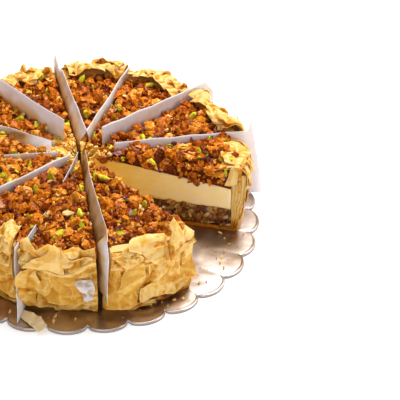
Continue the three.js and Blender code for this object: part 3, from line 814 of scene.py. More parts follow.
def filo_portion(portion):
    """The wall of one portion with its sheets, from the innermost to the flaps that stand off it."""
    random = np.random.default_rng(SHELL_SEED + portion.number)
    seed = 100 * portion.number
    parts = [filo_wall(portion)]
    reach = portion.half * FOOT_RADIUS
    for n, (left, right, foot, top, lift, rest) in enumerate(SHELL_SHEETS):
        left, right = (reach * (side + SIDES_STRAY * (random.random() - 0.5)) for side in (left, right))
        foot, top = (level + LEVELS_STRAY * (random.random() - 0.5) for level in (foot, top))
        tilt = TILT_STRAY * (random.random() - 0.5)
        if portion.number in LAID_BY_HAND and n == 0:
            rest = {**rest, "browning_and_shade": 0.3}
        if portion.number in LAID_BY_HAND and foot > COLLAR_FOOT:
            top, lift = min(top - 12, 51), lift - 1.5
            rest = {**rest, "crush": 2.0, "fold": 7, "shared": 1.5}
        elif portion.number == 11:
            foot = foot + 6
        elif portion.number == 1 and foot > COLLAR_FOOT:
            lift, rest = lift - 2, {**rest, "crush": 2.2}
        net = [
            [(left, foot, lift), (right, foot + tilt, lift)],
            [(left + tilt, top - tilt, lift), (right + tilt, top, lift)],
        ]
        parts.append(filo_sheet(portion, seed + n, net, **rest))
    for n in range(FLAPS.get(portion.number, 3)):
        middle = reach * (-0.7 + 0.7 * n + 0.3 * (random.random() - 0.5))
        half, top = 4 + 4 * random.random(), 60 + 6 * random.random()
        net = [
            [(middle - half, 50, 3), (middle + half, 50, 3)],
            [(middle - 0.4 * half, top, 3.5), (middle + 0.2 * half, top, 3.5)],
        ]
        bend = 50 * random.random() - 12
        flap = filo_sheet(portion, seed + 30 + n, net, bend=bend, crush=2.5, fold=6, ragged=1, browning_and_shade=0.2)
        parts.append(flap)
    placed = [entry for entry in PLACED_SHEETS if entry[0] == portion.number]
    for n, (_, rest, net) in enumerate(placed):
        given = {**dict(crush=2.6, fold=8, shared=1, curl=0.5, ragged=2.2), **rest}
        parts.append(filo_sheet(portion, seed + 50 + n, net, **given))
    if portion.number == 1:
        parts += [hanging_sheet(portion, *sheet) for sheet in HANGING_SHEETS]
    return parts


def multiply_add(tree, value, factor, added):
    """A value times a factor, plus another value."""
    inputs = {0: value, 1: factor, 2: added}
    return add_node(tree, "ShaderNodeMath", inputs, operation="MULTIPLY_ADD").outputs[0]


def stored(tree, name):
    """The value that a mesh stores under a name at each of its points."""
    return add_node(tree, "ShaderNodeAttribute", attribute_name=name).outputs["Fac"]


def let_light_through(tree, shader, share, tone, normal):
    """Mixes the shader with light that comes through a thin sheet."""
    through = add_node(tree, "ShaderNodeBsdfTranslucent", {"Color": tone, "Normal": normal})
    blend = add_node(tree, "ShaderNodeMixShader", {0: share, 1: shader.outputs[0], 2: through.outputs[0]})
    tree.links.new(blend.outputs[0], tree.nodes["Material Output"].inputs["Surface"])


filo, tree, shader = new_material("baked filo pastry", Roughness=0.55, Specular_IOR_Level=0.25)
# Butter browns the sheets in blotches of about 9 mm and in freckles of about 2 mm, on top of each sheet's
# stored browning with its painted shade and highlights.
blotched = multiply_add(tree, noise(tree, scale=110.0, detail=3.0), 0.3, stored(tree, "baked"))
freckled = multiply_add(tree, noise(tree, scale=500.0, detail=2.0), 0.3, blotched)
share = add_node(tree, "ShaderNodeMapRange", {"Value": freckled, "From Min": 0.3, "From Max": 1.3}).outputs[0]
FILO_COLOURS = [
    (0.0, "#F7D68A"), (0.2, "#F0C25E"), (0.4, "#E2A838"), (0.6, "#D68E16"), (0.8, "#C46C04"),
    (1.0, "#7A3A02"),
]
tone = ramp(tree, share, FILO_COLOURS)
wrinkles = bump(tree, noise(tree, scale=380.0, detail=4.0), strength=0.35, distance=0.0005)
wire(tree, shader, Base_Color=tone, Normal=wrinkles)
# Light comes through the thin sheets and turns orange in the butter.
let_light_through(tree, shader, share=0.3, tone=tone, normal=wrinkles)

for portion in portions:
    points, faces, browning_with_painted_shading = join(filo_portion(portion))
    name = f"filo_shell_{portion.label}"
    shell = new_object(name, points, faces, filo, smooth=False, attributes={"baked": browning_with_painted_shading})
    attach(shell, "root")
    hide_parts(f"crust_{portion.label}")


# The cream: baked cream cheese, smooth where the wet knife went through, and painted golden towards the
# cake's middle as warm light bounced from the crust and topping.
CREAM_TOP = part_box("cream_01")[1].z / MM - CAKE_FOOT
NUTS_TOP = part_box("nut_layer_01")[1].z / MM - CAKE_FOOT
# The cream rose in the middle and sank at the wall as it baked: by how much at which distance from the tip.
CREAM_RISE = [(20, 4), (118, -8)]
# How far out from the tip the painted bounce light reaches, and how far a layer runs for the count of its
# steps.
BOUNCE_LIGHT_REACH = 110
LAYER_REACH = 110
cream, tree, shader = new_material("baked cream cheese", Roughness=0.5, Subsurface_Weight=0.6)
shader.inputs["Subsurface Radius"].default_value = (0.013, 0.009, 0.004)
# The knife draws golden patches out into level streaks about 11 mm long, laid over the painted bounce light.
place = add_node(tree, "ShaderNodeTexCoord")
streaks = add_node(tree, "ShaderNodeMapping", {"Vector": place.outputs["Object"], "Scale": (1.0, 1.0, 3.5)})
streaky = {"Vector": streaks.outputs[0], "Scale": 70.0, "Detail": 5.0}
cloud = add_node(tree, "ShaderNodeTexNoise", streaky).outputs[0]
share = multiply_add(tree, cloud, 0.9, stored(tree, "soaked"))
tone = ramp(tree, share, [(0.3, "#FFE0B4"), (0.6, "#FFDE98"), (1.0, "#FAD068")])
# The knife leaves drag lines and the cream has pores under a millimetre.
pores = bump(tree, noise(tree, scale=900.0, detail=3.0), strength=0.5, distance=0.0004)
wire(tree, shader, Base_Color=tone, Normal=pores)


def layer_block(portion, inner, low, high, wave, seed, step):
    """A layer of one portion as a lattice: the radius, angle, height and row of its points. It runs from a
    distance from the tip out to the wall, and its cut faces are uneven by the given depth."""
    ni, nk = round((LAYER_REACH - inner) / step), max(2, round((high - low) / step))
    nj = max(6, round(2 * portion.half * LAYER_REACH / step))
    i, j, k = np.meshgrid(np.arange(ni + 1), np.arange(nj + 1), np.arange(nk + 1), indexing="ij")
    angle = portion.half * (2 * j / nj - 1)
    reach = portion.from_tip(WALL_INNER_RADIUS, angle) - LAYER_GAP
    radius = inner + (reach - inner) * i / ni
    height = low + (high - low) * k / nk
    side = np.where(j == 0, 1, np.where(j == nj, -1, 0))
    seat = np.stack([radius / 6, height / 6], -1)
    dent = wave * (0.5 + 0.5 * drift(seat, seed) + 0.3 * drift(seat * 2.7, seed + 1))
    return radius, angle + side * dent / np.maximum(radius, 4), height, k


def cream_top(radius):
    """Height of the cream at a distance from the portion's tip."""
    return CREAM_TOP + np.interp(radius, *zip(*CREAM_RISE))


for portion in portions:
    low, seed = NUTS_TOP + LAYER_GAP, CREAM_SEED + portion.number
    radius, angle, height, row = layer_block(
        portion, TIP_RADIUS, low, CREAM_TOP, wave=0.6, seed=seed, step=2.0
    )
    height = height + (cream_top(radius) - CREAM_TOP) * row / row.max()
    # Golden towards the tip: painted warm light bounced from the crust and topping.
    painted_bounce_light = np.clip(0.75 - radius / BOUNCE_LIGHT_REACH, 0, 0.6)
    points, faces, painted_bounce_light = closed_block(portion.place(radius, angle, height), painted_bounce_light)
    name = f"cream_layer_{portion.label}"
    layer = new_object(name, points, faces, cream, attributes={"soaked": painted_bounce_light})
    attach(layer, "root")
    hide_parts(f"cream_{portion.label}")


# The nut base: chopped walnuts and pistachios bound with syrup, dark and rough where it is cut.
nut_base, tree, shader = new_material("syrup-bound chopped nuts", Roughness=0.4)
# Chopped pieces are about 4 mm across, each with its own colour.
place = add_node(tree, "ShaderNodeTexCoord")
chunks = add_node(tree, "ShaderNodeTexVoronoi", {"Vector": place.outputs["Object"], "Scale": 260.0})
pick = add_node(tree, "ShaderNodeSeparateColor", {0: chunks.outputs["Color"]}).outputs[0]
BASE_COLOURS = [(0.0, "#3A1C08"), (0.35, "#5C3210"), (0.55, "#8A5A1C"), (0.75, "#946A1E"), (0.9, "#C9A566")]
rounded = bump(tree, chunks.outputs["Distance"], strength=0.8, distance=0.002, invert=True)
wire(tree, shader, Base_Color=ramp(tree, pick, BASE_COLOURS), Normal=rounded)
for portion in portions:
    inner, low, seed = TIP_RADIUS + 4, BASE_TOP + LAYER_GAP, NUTS_SEED + portion.number
    radius, angle, height, _ = layer_block(portion, inner, low, NUTS_TOP, wave=1.4, seed=seed, step=2.0)
    points, faces = closed_block(portion.place(radius, angle, height))
    layer = new_object(f"nut_base_{portion.label}", points, faces, nut_base)
    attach(layer, "root")
    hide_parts(f"nut_layer_{portion.label}")


# The topping: chopped nuts boiled in caramel and spread while hot. A sticky core holds it, and on it lie
# caramel-coated crumbs and chunks, bare pale nuts, pistachio kernels and scraps of their purple skin.
DOME_WIDTH = 9
DOME_HEIGHT = 3.4
# A dome covers this share of its cell, as a squared distance from its middle.
DOME_SPREAD = 0.55
FINE_WIDTH = 4
FINE_HEIGHT = 0.8
# The core's top lies this far under the topping's, so that the pieces on it reach it.
CORE_SINK = 2.6
# How far the core stays from each portion's tip.
BARE_TIPS = [10, 7, 6, 8, 17, 20, 18, 8, 6, 5, 8]
# How much lower the core is at its tip and at the cuts, and the radii and the width over which it gets lower.
TIP_DROP = 2.5
TIP_SLOPE = (10, 34)
CUT_DROP = 2.5
CUT_SLOPE = 8
# The topping sinks at the first cut of portion 7, where a scrap of paper lies, and of portion 9: depth, width
# and reach. It rises again over these lengths, away from the cut and outwards.
HOLLOWS = {7: (9, 11, 54), 9: (4, 9, 130)}
NO_HOLLOW = (0, 1, 1)
HOLLOW_SIDE = 4
HOLLOW_END = 8
# Pieces stay this far inside a cut, and stand this far out of an open one.
CUT_MARGIN = 0.1
OPEN_MARGIN = -2.2
# Where nuts bridge a cut, by as much: from and to what distance from the meeting point, and over what length
# they get there at both ends.
BRIDGE = 3.1
BRIDGED = {9: (36, 98)}
NOT_BRIDGED = (900, 901)
BRIDGE_END = 5
# How far a leaning paper has pressed a portion's pieces back from the cut at the wall, and between what
# distances from the meeting point that grows.
PRESSED = {11: 3}
PRESSED_BETWEEN = (50, 110)
# Surfaces that face down more than this, as the height of their normal, carry no pieces of topping.
LEAST_UPWARD = -0.6
ANY_WAY = -1.0
# Every kind of piece comes in this many shapes.
SHAPE_COUNT = 10
FULL_TURN = 6.283


def input_socket(tree, name, kind):
    """A new input of a node group, by the name under which a modifier sets it."""
    return tree.interface.new_socket(name=name, in_out="INPUT", socket_type=kind).identifier


scatter = bpy.data.node_groups.new("scatter pieces on a surface", "GeometryNodeTree")
SCATTER_INPUTS = {
    "Surface": "NodeSocketGeometry",
    "Spacing": "NodeSocketFloat",
    "Most on a square metre": "NodeSocketFloat",
    "Seed": "NodeSocketInt",
    "Least upward": "NodeSocketFloat",
    "Smallest": "NodeSocketFloat",
    "Largest": "NodeSocketFloat",
    "Highest": "NodeSocketFloat",
    "Shapes": "NodeSocketCollection",
    "Finish": "NodeSocketMaterial",
}
scatter_sockets = {name: input_socket(scatter, name, kind) for name, kind in SCATTER_INPUTS.items()}
scatter.interface.new_socket(name="Pieces", in_out="OUTPUT", socket_type="NodeSocketGeometry")
given = add_node(scatter, "NodeGroupInput").outputs


def random_value(kind, output, inputs):
    """A random value for each point, from the output that the node has for that kind of value."""
    return add_node(scatter, "FunctionNodeRandomValue", inputs, data_type=kind).outputs[output]


normal = add_node(scatter, "GeometryNodeInputNormal")
upward = add_node(scatter, "ShaderNodeSeparateXYZ", {0: normal.outputs[0]})
compared = {0: upward.outputs[2], 1: given["Least upward"]}
facing = add_node(scatter, "FunctionNodeCompare", compared, operation="GREATER_THAN")
spread = add_node(
    scatter,
    "GeometryNodeDistributePointsOnFaces",
    {
        "Mesh": given["Surface"],
        "Selection": facing.outputs[0],
        "Distance Min": given["Spacing"],
        "Density Max": given["Most on a square metre"],
        "Seed": given["Seed"],
    },
    distribute_method="POISSON",
)
rise = random_value("FLOAT", 1, {3: given["Highest"], "Seed": given["Seed"]})
raised = {0: spread.outputs["Normal"], "Scale": rise}
off = add_node(scatter, "ShaderNodeVectorMath", raised, operation="SCALE")
moved = {"Geometry": spread.outputs["Points"], "Offset": off.outputs[0]}
lifted = add_node(scatter, "GeometryNodeSetPosition", moved)
collection = {"Collection": given["Shapes"], "Separate Children": True, "Reset Children": True}
shapes = add_node(scatter, "GeometryNodeCollectionInfo", collection)
copies = add_node(
    scatter,
    "GeometryNodeInstanceOnPoints",
    {
        "Points": lifted.outputs[0],
        "Instance": shapes.outputs[0],
        "Pick Instance": True,
        "Instance Index": random_value("INT", 2, {4: 0, 5: SHAPE_COUNT - 1, "Seed": 8}),
        "Rotation": random_value("FLOAT_VECTOR", 0, {1: (FULL_TURN, FULL_TURN, FULL_TURN), "Seed": 3}),
        "Scale": random_value("FLOAT", 1, {2: given["Smallest"], 3: given["Largest"], "Seed": 5}),
    },
)
chance = random_value("FLOAT", 1, {"Seed": 11})
named = {"Geometry": copies.outputs[0], "Name": "tint", "Value": chance}
tinted = add_node(scatter, "GeometryNodeStoreNamedAttribute", named, data_type="FLOAT", domain="INSTANCE")
real = add_node(scatter, "GeometryNodeRealizeInstances", {0: tinted.outputs[0]})
coated = {"Geometry": real.outputs[0], "Material": given["Finish"]}
finished = add_node(scatter, "GeometryNodeSetMaterial", coated)
add_node(scatter, "NodeGroupOutput", {0: finished.outputs[0]})


def chopped_shapes(name, size, lumpy, cuts, subdivisions=2, smooth=False):
    """A collection of unit lumps, each stretched, made uneven and cut flat by a few planes."""
    group = bpy.data.collections.new(name)
    random = np.random.default_rng(len(name))
    for n in range(SHAPE_COUNT):
        ball = bmesh.new()
        bmesh.ops.create_icosphere(ball, subdivisions=subdivisions, radius=0.5)
        points = np.array([v.co for v in ball.verts])
        coarse, fine = drift(points * 3.1 + 9 * n, n)[:, None], drift(points * 6 + n, n)[:, None]
        points *= 1 + lumpy * coarse + 0.5 * lumpy * fine
        for _ in range(cuts):
            facing = random.normal(size=3)
            facing /= np.linalg.norm(facing)
            past = np.maximum(points @ facing - (0.14 + 0.2 * random.random()), 0)
            points -= past[:, None] * facing
        points *= np.array(size) * (0.75 + 0.5 * random.random(3))
        for vertex, point in zip(ball.verts, points):
            vertex.co = point
        mesh = bpy.data.meshes.new(f"{name}_{n}")
        ball.to_mesh(mesh)
        ball.free()
        mesh.polygons.foreach_set("use_smooth", [smooth] * len(mesh.polygons))
        group.objects.link(bpy.data.objects.new(f"{name}_{n}", mesh))
    return group


def cluster_shapes(name, grains):
    """A collection of unit clusters, each a mound of a few sharp-edged grains stuck together."""
    group = bpy.data.collections.new(name)
    random = np.random.default_rng(len(name))
    for n in range(SHAPE_COUNT):
        clump = bmesh.new()
        for _ in range(grains):
            size = (0.2 + 0.2 * random.random()) * np.array([1.25, 0.9, 0.6])[random.permutation(3)]
            made = bmesh.ops.create_icosphere(clump, subdivisions=1, radius=1)["verts"]
            place = random.normal(size=3)
            place *= 0.3 * random.random() ** 0.4 / np.linalg.norm(place) * np.array([1, 0.8, 0.6])
            for vertex in made:
                vertex.co = Vector(np.array(vertex.co) * size * (0.6 + 0.6 * random.random()) + place)
        mesh = bpy.data.meshes.new(f"{name}_{n}")
        clump.to_mesh(mesh)
        clump.free()
        group.objects.link(bpy.data.objects.new(f"{name}_{n}", mesh))
    return group


# A kind of scattered piece: its slot, shapes and finish, the spacing, the most pieces on a square metre, the
# smallest and largest size, and how far at most a piece is lifted off its surface.
Kind = collections.namedtuple("Kind", "slot shapes finish spacing most smallest largest highest")


def scattered(carrier, kind, seed, least_upward=ANY_WAY):
    """The pieces that the scatter puts on a carrier object: points in millimetres, faces and tints."""
    modifier = carrier.modifiers.new("scatter", "NODES")
    modifier.node_group = scatter
    settings = {
        "Spacing": kind.spacing * MM,
        "Most on a square metre": float(kind.most),
        "Seed": seed,
        "Least upward": least_upward,
        "Smallest": kind.smallest * MM,
        "Largest": kind.largest * MM,
        "Highest": kind.highest * MM,
        "Shapes": kind.shapes,
        "Finish": kind.finish,
    }
    for name, value in settings.items():
        modifier[scatter_sockets[name]] = value
    bpy.context.view_layer.update()
    graph = bpy.context.evaluated_depsgraph_get()
    mesh = bpy.data.meshes.new_from_object(carrier.evaluated_get(graph))
    carrier.modifiers.remove(modifier)
    points = np.empty(3 * len(mesh.vertices))
    mesh.vertices.foreach_get("co", points)
    faces = np.empty(3 * len(mesh.polygons), dtype=int)
    tints = np.empty(len(mesh.vertices))
    if len(mesh.vertices):
        mesh.polygons.foreach_get("vertices", faces)
        mesh.attributes["tint"].data.foreach_get("value", tints)
    bpy.data.meshes.remove(mesh)
    return points.reshape(-1, 3) / MM, faces.reshape(-1, 3), tints


def candy(name, stops, roughness, spot_size, coat=0.12):
    """Caramel-coated nut: its colour runs with each piece's tint and in spots, under a glossy coat."""
    material, tree, shader = new_material(name, Roughness=roughness, Coat_Weight=coat, Coat_Roughness=0.2)
    shader.inputs["Specular IOR Level"].default_value = 0.12
    spots = noise(tree, scale=1000 / spot_size, detail=3.0)
    tint = add_node(tree, "ShaderNodeMath", {0: stored(tree, "tint"), 1: 0.55}, operation="MULTIPLY")
    total = multiply_add(tree, spots, 1.5, tint.outputs[0])
    share = add_node(tree, "ShaderNodeMapRange", {"Value": total, "From Min": 0.55, "From Max": 1.5})
    tone = ramp(tree, share.outputs[0], stops)
    wire(tree, shader, Base_Color=tone, Normal=bump(tree, spots, strength=0.6, distance=0.001))
    return material


STICKY = [(0.2, "#562004"), (0.5, "#7E3604"), (0.9, "#AA5A0E")]
AMBER = [
    (0.0, "#6A2802"), (0.3, "#A04A02"), (0.5, "#C06806"), (0.7, "#CC7C12"), (0.85, "#DE9A32"),
    (1.0, "#ECC070"),
]
BROWN = [
    (0.0, "#3E1402"), (0.3, "#722E02"), (0.5, "#984A04"), (0.7, "#B6640A"), (0.85, "#CC8826"),
    (1.0, "#E0AE5C"),
]
PALE = [(0.0, "#B87A2C"), (0.35, "#DDB062"), (0.7, "#EBCB8C"), (1.0, "#F4E0B0")]
GREEN = [(0.0, "#7A6204"), (0.25, "#9A8C08"), (0.55, "#B8B416"), (0.8, "#D0CC34"), (1.0, "#E0D870")]
PURPLE = [(0.0, "#4A222A"), (0.5, "#74464E"), (1.0, "#A07C88")]
sticky = candy("sticky caramel", STICKY, roughness=0.8, spot_size=3, coat=0)
amber = candy("amber caramel", AMBER, roughness=0.5, spot_size=2.2)
brown = candy("dark caramel", BROWN, roughness=0.5, spot_size=2.2)
pale = candy("blanched nut", PALE, roughness=0.5, spot_size=2.5)
green = candy("pistachio kernel", GREEN, roughness=0.5, spot_size=2.5)
purple = candy("pistachio skin", PURPLE, roughness=0.5, spot_size=2)

chunk_shapes = chopped_shapes("chunk", (1, 0.8, 0.6), lumpy=0.5, cuts=4)
crumb_shapes = chopped_shapes("crumb", (1, 0.7, 0.5), lumpy=0.4, cuts=2, subdivisions=1)
clump_shapes = cluster_shapes("clump", grains=6)
chip_shapes = chopped_shapes("chip", (1, 0.6, 0.4), lumpy=0.3, cuts=4)
kernel_shapes = chopped_shapes("kernel", (1, 0.5, 0.42), lumpy=0.15, cuts=1, smooth=True)
skin_shapes = chopped_shapes("skin", (1, 0.8, 0.25), lumpy=0.45, cuts=2)

KINDS = {
    "caramel_crumbs": Kind("candied_nuts", crumb_shapes, amber, 2.8, 120000, 2.6, 5.4, 1.2),
    "amber_clusters": Kind("candied_nuts", clump_shapes, amber, 7.2, 18000, 9.5, 16.5, 1.2),
    "brown_clusters": Kind("candied_nuts", clump_shapes, brown, 7.2, 18000, 8.0, 14.5, 0.6),
    "brown_chunks": Kind("candied_nuts", chunk_shapes, brown, 8.0, 10000, 5.5, 10.0, 2.2),
    "golden_chunks": Kind("candied_nuts", chunk_shapes, amber, 8.5, 9000, 5.5, 11.0, 3.0),
    "pale_chips": Kind("candied_nuts", chip_shapes, pale, 11.0, 7000, 4.0, 9.0, 3.4),
    "pistachio_bits": Kind("pistachio", chip_shapes, green, 10.0, 8000, 4.5, 9.0, 3.4),
    "pistachio_kernels": Kind("pistachio", kernel_shapes, green, 19.0, 2600, 9.0, 13.0, 3.4),
    "skin_scraps": Kind("candied_nuts", skin_shapes, purple, 11.0, 5200, 4.0, 9.0, 3.6),
}


def nearest_cell(points, seed):
    """Squared distance, in cells, from each point to the nearest of points scattered one to a cell."""
    home = np.floor(points)
    nearest = np.full(points.shape[:-1], 9.0)
    for step in itertools.product((-1, 0, 1), repeat=2):
        cell = home + step
        own_point = cell + np.stack([scramble(cell, seed), scramble(cell, seed + 7)], axis=-1)
        nearest = np.minimum(nearest, ((points - own_point) ** 2).sum(axis=-1))
    return nearest


heaps = {name: [] for name in KINDS}
for portion in portions:
    bare = BARE_TIPS[portion.number - 1]
    low, seed = CREAM_TOP + LAYER_GAP, TOPPING_SEED + portion.number
    radius, angle, height, row = layer_block(
        portion, TIP_RADIUS + bare, low, TOPPING_TOP, wave=0.8, seed=seed, step=1.7
    )
    flat = portion.place(radius, angle, height)[..., :2]
    domes = np.sqrt(np.clip(1 - nearest_cell(flat / DOME_WIDTH, 1) / DOME_SPREAD, 0, 1))
    from_cut = radius * np.sin(np.maximum(portion.half - abs(angle), 0))
    bumps = DOME_HEIGHT * domes - CORE_SINK + FINE_HEIGHT * drift(flat / FINE_WIDTH, 2)
    bumps = bumps - TIP_DROP * (1 - ease(radius, *TIP_SLOPE)) - CUT_DROP * (1 - ease(from_cut, 0, CUT_SLOPE))
    depth, width, reach = HOLLOWS.get(portion.number, NO_HOLLOW)
    from_first = radius * np.sin(portion.half + angle)
    in_width = 1 - ease(from_first, width - HOLLOW_SIDE, width)
    in_reach = 1 - ease(radius, reach - HOLLOW_END, reach)
    bumps = bumps - depth * in_width * in_reach
    height = height + bumps * ease(height, CREAM_TOP + 2, TOPPING_TOP)
    height = height + (cream_top(radius) - CREAM_TOP) * (1 - row / row.max())
    points, faces = closed_block(portion.place(radius, angle, height))
    tints = np.zeros(len(points))
    core = new_object(f"topping_core_{portion.label}", points, faces, sticky, attributes={"tint": tints})
    for n, (name, kind) in enumerate(KINDS.items()):
        points, faces, tints = scattered(core, kind, 31 * portion.number + n, LEAST_UPWARD)
        from_meet = np.hypot(*(points[:, :2] - MEET).T)
        margins = []
        for cut, is_open in zip((portion.number - 1, portion.number), portion.open):
            start, end = BRIDGED.get(cut, NOT_BRIDGED)
            begun, ended = ease(from_meet, start, start + BRIDGE_END), ease(from_meet, end - BRIDGE_END, end)
            bridged = begun * (1 - ended)
            pressed = PRESSED.get(portion.number, 0) * ease(from_meet, *PRESSED_BETWEEN)
            margins.append(OPEN_MARGIN if is_open else CUT_MARGIN + pressed - BRIDGE * bridged)
        heaps[name].append((portion.trim(points, margins), faces, tints))
    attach(core, "root")
    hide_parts(f"topping_{portion.label}")
for name, kind in KINDS.items():
    points, faces, tints = join(heaps[name])
    smooth = name == "pistachio_kernels"
    pieces = new_object(name, points, faces, kind.finish, smooth=smooth, attributes={"tint": tints})
    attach(pieces, "root")
    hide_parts(*(f"topping_{portion.label}" for portion in portions))


# The tips: round the middle the caramel gives way to crumbs of cream and of honeyed filo, on a low mound that
# fills each tip up to the topping's core.
HONEYED = [(0.0, "#B06C14"), (0.35, "#DA9E3A"), (0.7, "#EEC46A"), (1.0, "#F6DE9C")]
honeyed = candy("honeyed cream crumbs", HONEYED, roughness=0.6, spot_size=3)
TIP_CRUMBS = Kind("cream", crumb_shapes, honeyed, 2.4, 140000, 2.8, 6.8, 1.2)
# The mound starts this far from the tip, and ends this far under the core's edge.
MOUND_START = 4
MOUND_OVERLAP = 4
MOUND_TINT = 0.5
# How high its bumps are, and by how much it dips where the tips meet, between these distances from the tip.
MOUND_BUMPS = 1.5
MEETING_DIP = 5
DIP_BETWEEN = (3, 9)
TIP_SEED = 800
tip_parts = []
for portion in portions:
    mound_end = BARE_TIPS[portion.number - 1] + MOUND_OVERLAP
    radius, angle, height = np.meshgrid(
        np.linspace(MOUND_START, mound_end, 10),
        portion.half * np.linspace(-1, 1, 10),
        np.linspace(CREAM_TOP + LAYER_GAP, TOPPING_TOP, 4),
        indexing="ij",
    )
    flat = portion.place(radius, angle, height)[..., :2]
    bumps = MOUND_BUMPS * drift(flat / FINE_WIDTH, 4) - MEETING_DIP * (1 - ease(radius, *DIP_BETWEEN))
    height = height + bumps * ease(height, CREAM_TOP + 2, TOPPING_TOP)
    height = np.maximum(height, cream_top(radius) + LAYER_GAP)
    points, faces = closed_block(portion.place(radius, angle, height))
    tints = np.full(len(points), MOUND_TINT)
    mound = new_object("tip_mound", points, faces, honeyed, attributes={"tint": tints})
    # The crumbs are triangles, so the mound's quads are halved to join them.
    tip_parts.append((points, np.concatenate([faces[:, :3], faces[:, [0, 2, 3]]]), tints))
    points, faces, tints = scattered(mound, TIP_CRUMBS, TIP_SEED + portion.number, LEAST_UPWARD)
    tip_parts.append((portion.trim(points, (CUT_MARGIN, CUT_MARGIN)), faces, tints))
    bpy.data.objects.remove(mound)
points, faces, tints = join(tip_parts)
tip_crumbs = new_object("tip_crumbs", points, faces, honeyed, smooth=False, attributes={"tint": tints})
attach(tip_crumbs, "root")
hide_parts(*(f"topping_{portion.label}" for portion in portions))


# The open faces: on both sides of the open gap broken nuts stand out of the base, brown, olive and pale, and
# hang over the edge of the cream.
DARK_NUT = [(0.0, "#341404"), (0.35, "#66340E"), (0.7, "#90581C"), (1.0, "#BE8E4A")]
OLIVE_NUT = [(0.0, "#4E2E0A"), (0.4, "#7C4E14"), (0.8, "#A07428"), (1.0, "#C4A052")]
dark_nut = candy("syrup-soaked nut", DARK_NUT, roughness=0.55, spot_size=3)
olive_nut = candy("soaked pistachio", OLIVE_NUT, roughness=0.55, spot_size=3)
RUBBLE = {
    "base_lumps": Kind("nut_layer", clump_shapes, dark_nut, 4.5, 50000, 6.0, 10.0, 0.8),
    "base_olive_bits": Kind("nut_layer", chunk_shapes, olive_nut, 10.0, 12000, 5.0, 8.5, 1.2),
    "base_pale_bits": Kind("nut_layer", chip_shapes, pale, 11.0, 8000, 3.5, 7.5, 1.6),
}
# The broken nuts' middles lie this far inside the cut, between these distances from the tip, and stay this
# far above the filo and below the cream.
RUBBLE_DEPTH = 1.2
RUBBLE_BETWEEN = (9, 108)
ABOVE_FILO = 1.5
BELOW_CREAM = 0.5
RUBBLE_SEED = 900
rubble = {name: [] for name in RUBBLE}
for portion, side in ((portions[0], -1), (portions[-1], 1)):
    radius, height = np.meshgrid(
        np.linspace(*RUBBLE_BETWEEN, 50),
        np.linspace(BASE_TOP + ABOVE_FILO, NUTS_TOP - BELOW_CREAM, 8),
        indexing="ij",
    )
    points = portion.place(radius, side * (portion.half - RUBBLE_DEPTH / radius), height)
    faces = grid_quads(np.arange(radius.size).reshape(radius.shape))
    face = new_object("open_face", points, faces[:, ::-side], dark_nut)
    for n, (name, kind) in enumerate(RUBBLE.items()):
        rubble[name].append(scattered(face, kind, RUBBLE_SEED + 10 * n + portion.number))
    bpy.data.objects.remove(face)
for name, kind in RUBBLE.items():
    points, faces, tints = join(rubble[name])
    pieces = new_object(name, points, faces, kind.finish, smooth=False, attributes={"tint": tints})
    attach(pieces, "root")
    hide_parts("nut_layer_01", "nut_layer_11")


# The papers: greaseproof sheets pushed into the cuts, with butter and syrup drawn up from their foot. Each
# stands flat in its cut, leans where it rises above the cake, and bows past the wall.
PAPER_THICKNESS = 0.3
PAPER_STEPS = (90, 36)
WALL_REACH = 129
# A paper leans from this far above the topping, and from this far above the rim where the wall is nearer
# than the given distance or behind.
ABOVE_TOPPING = 2
ABOVE_RIM = 4
NEAR_WALL = 6
# Grease fades out between these heights.
GREASE_FADES = (46, 74)
PAPERS = [
    # Cut, near end from the meeting point, reach past the wall (foot, top), foot, top edge (near end,
    # half-way, wall, outer end), lean of the top edge (near, wall), bow past the wall (foot, top), how far
    # inside the wall's face the bow begins, and grease from 0 to 1.
    (1, 26, (12, 2.5), 1, (59, 59, 58, 68.5), (0.5, 0), (-4, 0), 3, 0),
    (2, 21, (9, 9), 8, (67, 67, 66, 52), (0, -1), (0, 0), 3, 0.3),
    (3, 18, (2, 2), 5, (62, 61, 62, 62), (1.5, 0.5), (2, 2), 3, 0.45),
    (4, 7, (3, 3), 4, (69, 66, 66, 65), (-6, -3), (-1, -1), 3, 0.95),
    (5, 20, (3, 3), 5, (72, 70, 69, 68), (-1, -1), (2, 2), 3, 0.6),
    (6, 22, (4, 4), 6, (57, 60, 61, 61), (1.5, 2), (-2, -2), 3, 0.3),
    (7, 17, (4, 4), 4, (56, 58, 61, 61), (0.5, 1), (2, 2), 3, 0.3),
    (8, 10, (4, 4), 5, (57, 58, 60, 60), (-1, -2), (-2, -2), 3, 0.3),
    (9, 8, (10, -5), 1, (60, 50, 57, 51), (1.5, 0), (1.5, -4.5), 18, 0.2),
    (10, 10, (3, 4), 17, (63, 63, 64, 62), (3.4, 7.9), (3.5, 5), 18, 0.95),
]
# Paper 10 stands at the left of its cut and slants across it: how far to that side, and how much lower its
# lean begins than the other papers'.
SLANTED = {10: (-1.4, 9)}

paper, tree, shader = new_material("greaseproof paper", Roughness=0.65, Specular_IOR_Level=0.3)
greasy = stored(tree, "greasy")
# Grease creeps through the paper in lobes of about 12 mm.
share = multiply_add(tree, noise(tree, scale=85.0, detail=4.0), 0.7, greasy)
tone = ramp(tree, share, [(0.45, "#F2EFF2"), (0.62, "#E9DCCB"), (0.82, "#E6C48E"), (1.0, "#BC8A44")])
creases = bump(tree, noise(tree, scale=70.0, detail=2.0), strength=0.35, distance=0.002)
wire(tree, shader, Base_Color=tone, Normal=creases)
# Greased paper lets more light through.
clear = add_node(tree, "ShaderNodeMapRange", {"Value": greasy, "To Min": 0.3, "To Max": 0.8}).outputs[0]
let_light_through(tree, shader, clear, tone, creases)


